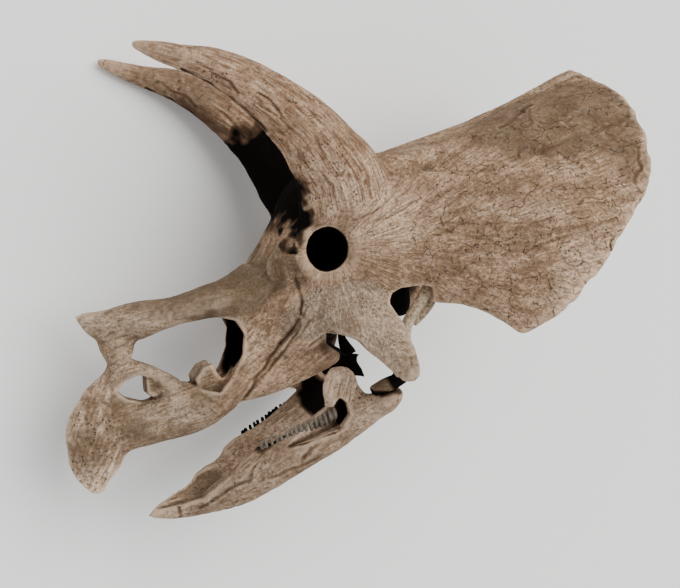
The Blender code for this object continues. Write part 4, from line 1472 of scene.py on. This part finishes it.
def bone_material(name, bone, dark, pale, fibre, crack, pore, contrast):
    """A bone material.

    fibre: (length, width, height); crack: (size, width as a share of it, amount, depth);
    pore: (size, amount, depth). Lengths are in metres; contrast is that of the fibres.
    """
    material = bpy.data.materials.new(name)
    material.use_nodes = True
    tree = material.node_tree
    shader = tree.nodes["Principled BSDF"]
    coords = add_node(tree, "TexCoord").outputs["Object"]
    grain = add_node(tree, "Attribute", attribute_name="grain").outputs["Vector"]
    fibre_length, fibre_width, fibre_height = fibre
    crack_size, crack_width, crack_amount, crack_depth = crack
    pore_size, pore_amount, pore_depth = pore
    fibres = add_node(tree, "Group", {"Grain": grain, "Length": fibre_length, "Width": fibre_width},
                      node_tree=FIBRES).outputs
    cracks = add_node(tree, "Group", {"Vector": coords, "Size": crack_size, "Width": crack_width,
                                      "Amount": crack_amount}, node_tree=CRACKS).outputs
    pores = add_node(tree, "Group", {"Vector": coords, "Size": pore_size, "Amount": pore_amount},
                     node_tree=PORES).outputs
    age = add_node(tree, "Group", {"Bone": (*bone, 1), "Dark": (*dark, 1), "Pale": (*pale, 1),
                                   "Contrast": contrast, "Vector": coords, "Fibre": fibres["Height"],
                                   "Streaks": fibres["Streaks"], "Crack": cracks["Crack"],
                                   "Pore": pores["Pore"]}, node_tree=AGE).outputs
    grit = noise_node(tree, coords, GRIT_SCALE, 5.0, 0.72)["Fac"]
    height = math_node(tree, "MULTIPLY", fibres["Height"], fibre_height)
    for operation, mask, amount in (("ADD", grit, GRIT_HEIGHT),
                                    ("SUBTRACT", cracks["Crack"], crack_depth),
                                    ("SUBTRACT", pores["Pore"], pore_depth)):
        height = math_node(tree, operation, height, math_node(tree, "MULTIPLY", mask, amount))
    relief = add_node(tree, "Bump", {"Height": height, "Strength": 1.0, "Distance": 1.0})
    tree.links.new(age["Color"], shader.inputs["Base Color"])
    tree.links.new(age["Roughness"], shader.inputs["Roughness"])
    tree.links.new(relief.outputs["Normal"], shader.inputs["Normal"])
    shader.inputs["Specular IOR Level"].default_value = DULL
    return material


MATERIALS = {
    "frill": bone_material(
        "frill_bone", bone=(0.430, 0.280, 0.172), dark=(0.175, 0.098, 0.054),
        pale=(0.760, 0.530, 0.358), fibre=(0.060, 0.0080, 0.0018),
        crack=(0.055, 0.030, 0.60, 0.0030), pore=(0.012, 0.45, 0.0014), contrast=0.95),
    "horn": bone_material(
        "horn_bone", bone=(0.485, 0.303, 0.178), dark=(0.165, 0.086, 0.046),
        pale=(0.700, 0.490, 0.335), fibre=(0.130, 0.0075, 0.0030),
        crack=(0.100, 0.020, 0.40, 0.0028), pore=(0.013, 0.45, 0.0016), contrast=1.3),
    "face": bone_material(
        "face_bone", bone=(0.430, 0.280, 0.172), dark=(0.175, 0.098, 0.054),
        pale=(0.800, 0.555, 0.370), fibre=(0.060, 0.0075, 0.0024),
        crack=(0.070, 0.022, 0.35, 0.0024), pore=(0.011, 0.40, 0.0014), contrast=1.1),
    "cheek": bone_material(
        "cheek_bone", bone=(0.530, 0.390, 0.272), dark=(0.190, 0.125, 0.080),
        pale=(0.620, 0.460, 0.325), fibre=(0.034, 0.0062, 0.0026),
        crack=(0.060, 0.022, 0.30, 0.0022), pore=(0.010, 0.50, 0.0014), contrast=1.0),
    "snout": bone_material(
        "snout_bone", bone=(0.425, 0.292, 0.190), dark=(0.165, 0.108, 0.062),
        pale=(0.600, 0.450, 0.325), fibre=(0.110, 0.0075, 0.0026),
        crack=(0.080, 0.022, 0.40, 0.0024), pore=(0.012, 0.35, 0.0012), contrast=1.2),
    "beak": bone_material(
        "beak_bone", bone=(0.395, 0.258, 0.162), dark=(0.165, 0.100, 0.058),
        pale=(0.930, 0.690, 0.490), fibre=(0.050, 0.0090, 0.0026),
        crack=(0.050, 0.026, 0.35, 0.0024), pore=(0.012, 0.60, 0.0018), contrast=1.1),
    "jaw": bone_material(
        "jaw_bone", bone=(0.415, 0.275, 0.178), dark=(0.180, 0.115, 0.068),
        pale=(0.700, 0.510, 0.360), fibre=(0.085, 0.0080, 0.0026),
        crack=(0.075, 0.024, 0.45, 0.0026), pore=(0.012, 0.40, 0.0014), contrast=1.2),
    "pale": bone_material(
        "pale_bone", bone=(0.680, 0.530, 0.360), dark=(0.300, 0.210, 0.130),
        pale=(0.680, 0.560, 0.410), fibre=(0.060, 0.0060, 0.0016),
        crack=(0.060, 0.024, 0.20, 0.0018), pore=(0.010, 0.25, 0.0008), contrast=0.6),
    "tooth": bone_material(
        "tooth_fossil", bone=(0.110, 0.090, 0.070), dark=(0.020, 0.015, 0.011),
        pale=(0.380, 0.335, 0.275), fibre=(0.040, 0.0040, 0.0014),
        crack=(0.030, 0.040, 0.40, 0.0014), pore=(0.008, 0.40, 0.0010), contrast=1.0),
}
FINISH = {"parietal": "frill", "squamosal": "frill", "brow_horn": "horn", "postorbital": "face",
          "lacrimal": "face", "frontal": "face", "braincase": "face", "jugal": "cheek",
          "nasal_horn": "snout", "nasal": "snout", "premaxilla": "snout", "maxilla": "face",
          "rostral": "beak", "predentary": "jaw", "dentary": "jaw", "surangular": "jaw",
          "coronoid": "jaw", "quadrate": "pale"}
print(len(MATERIALS), "bone materials")

# %% [markdown]
# ## Quadrates and teeth
#
# The quadrates and the tooth rows get the same attributes as the other bones; the right quadrate, the
# right tooth row and the spots round the left condyle are painted black as shade. A Triceratops tooth row
# is a battery: dozens of narrow crowns, set side by side along the inner edge of the jaw. Each crown is a
# small loft that starts deep in the dentary, so the row is rooted in the bone. The crowns of the right
# row are worn shorter.

# %% Quadrates and tooth rows
# Painted shade on the quadrates: black where the left one meets the cheek and round its condyle, and over
# the whole right one.
SHAFT_SHADE = [
    ((216, 70, 300), (50, 60, 80), 1.5),            # where the left shaft meets the cheek
    ((114, -236, 275), (56, 40, 80), 2.2),          # behind its condyle
    ((40, -278, 262), (60, 18, 60), 1.4),           # below its condyle
    ((70, -250, 262), (120, 60, 80), 0.30),
    ((110, -150, -280), (300, 400, 120), 6.0),      # the whole right quadrate
]
SHAFT_STAIN = [((70, -250, 262), (100, 50, 70), 2.0)]
RIGHT_ROW_SHADE = [((-180, -395, -150), (260, 200, 120), 3.0)]       # painted shade: the whole right tooth row, black behind the left one
QUADRATE_EDGE, CROWN_EDGE = 7.0, 2.2     # height in millimetres that counts as a full edge
RIGHT_ROW_WORN = 8                       # millimetres lost from the crowns of the right row


def finish_small(obj, bone, dark, edge_height):
    """Gives a small body its marks and grain and lays it down, as one piece."""
    points, normals = skin_of(obj)
    spots = drawing(points)
    # The hollow mask of a small body is painted shade, from the blots in `dark`.
    values = {"hollow": sum_of_blots(spots, dark, False), "stain": sum_of_blots(spots, SHAFT_STAIN),
              "pale": np.zeros(len(spots)), "ridge": ridges(obj, 2, edge_height),
              "grain": grain_of(bone, spots) * MM}
    piece = bone_piece(bone + "_fossil", lie_down(points), lie_down(normals, True), faces_of(obj),
                       values)
    discard(obj)
    return piece


def tooth_row(side, worn, count=16):
    """A row of uneven crowns along the inner edge of one dentary, cut short where they are worn."""
    bm = bmesh.new()
    rows = spline(TOOTH_ROW, 40)
    places = rows[np.linspace(2, len(rows) - 3, count).astype(int)]
    dice = np.random.default_rng(12)
    for back, up, left in places:
        tall, wide = dice.uniform(0.7, 1.3), dice.uniform(0.85, 1.2)
        back += dice.normal(0, 1.6)
        crown = [(back + 6, up - 34, left - 12, 4, 6), (back + 4, up - 17, left + 8, 5.6 * wide, 8),
                 (back, up - 2, left + 8, 5.6 * wide, 7),
                 (back - 3, up + 9 * tall - worn, left + 3, 3 + worn / 4, 4)]
        add_loft(bm, crown, side, steps=3, sides=10)
    return object_from(bm, "tooth_row")


for side_name, side, worn in (("left", LEFT, 0), ("right", RIGHT, RIGHT_ROW_WORN)):
    bone = "quadrate_" + side_name
    pieces[bone] = finish_small(quadrates[side_name], bone, SHAFT_SHADE, QUADRATE_EDGE)
    row = refined(tooth_row(side, worn), 1, TOOTH_NET)
    pieces["tooth_row_" + side_name] = finish_small(row, "tooth_" + side_name, RIGHT_ROW_SHADE, CROWN_EDGE)
print("quadrates and", sum(name.startswith("tooth") for name in pieces), "tooth rows")

# %% [markdown]
# ## Handing the pieces over
#
# Each piece gets its material and rides on the one body of the model, and the imported bone it stands
# for, where there is one, is hidden. A fossil skull is rigid, so that is all the motion it has.

# %% Materials, riding and finish
for bone, piece in pieces.items():
    finish = FINISH.get(kind_of(bone), "tooth")
    piece.data.materials.append(MATERIALS[finish])
    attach(piece, "root")
    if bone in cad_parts:
        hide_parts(bone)

print("triangles:", sum(2 * len(piece.data.polygons) for piece in pieces.values()))
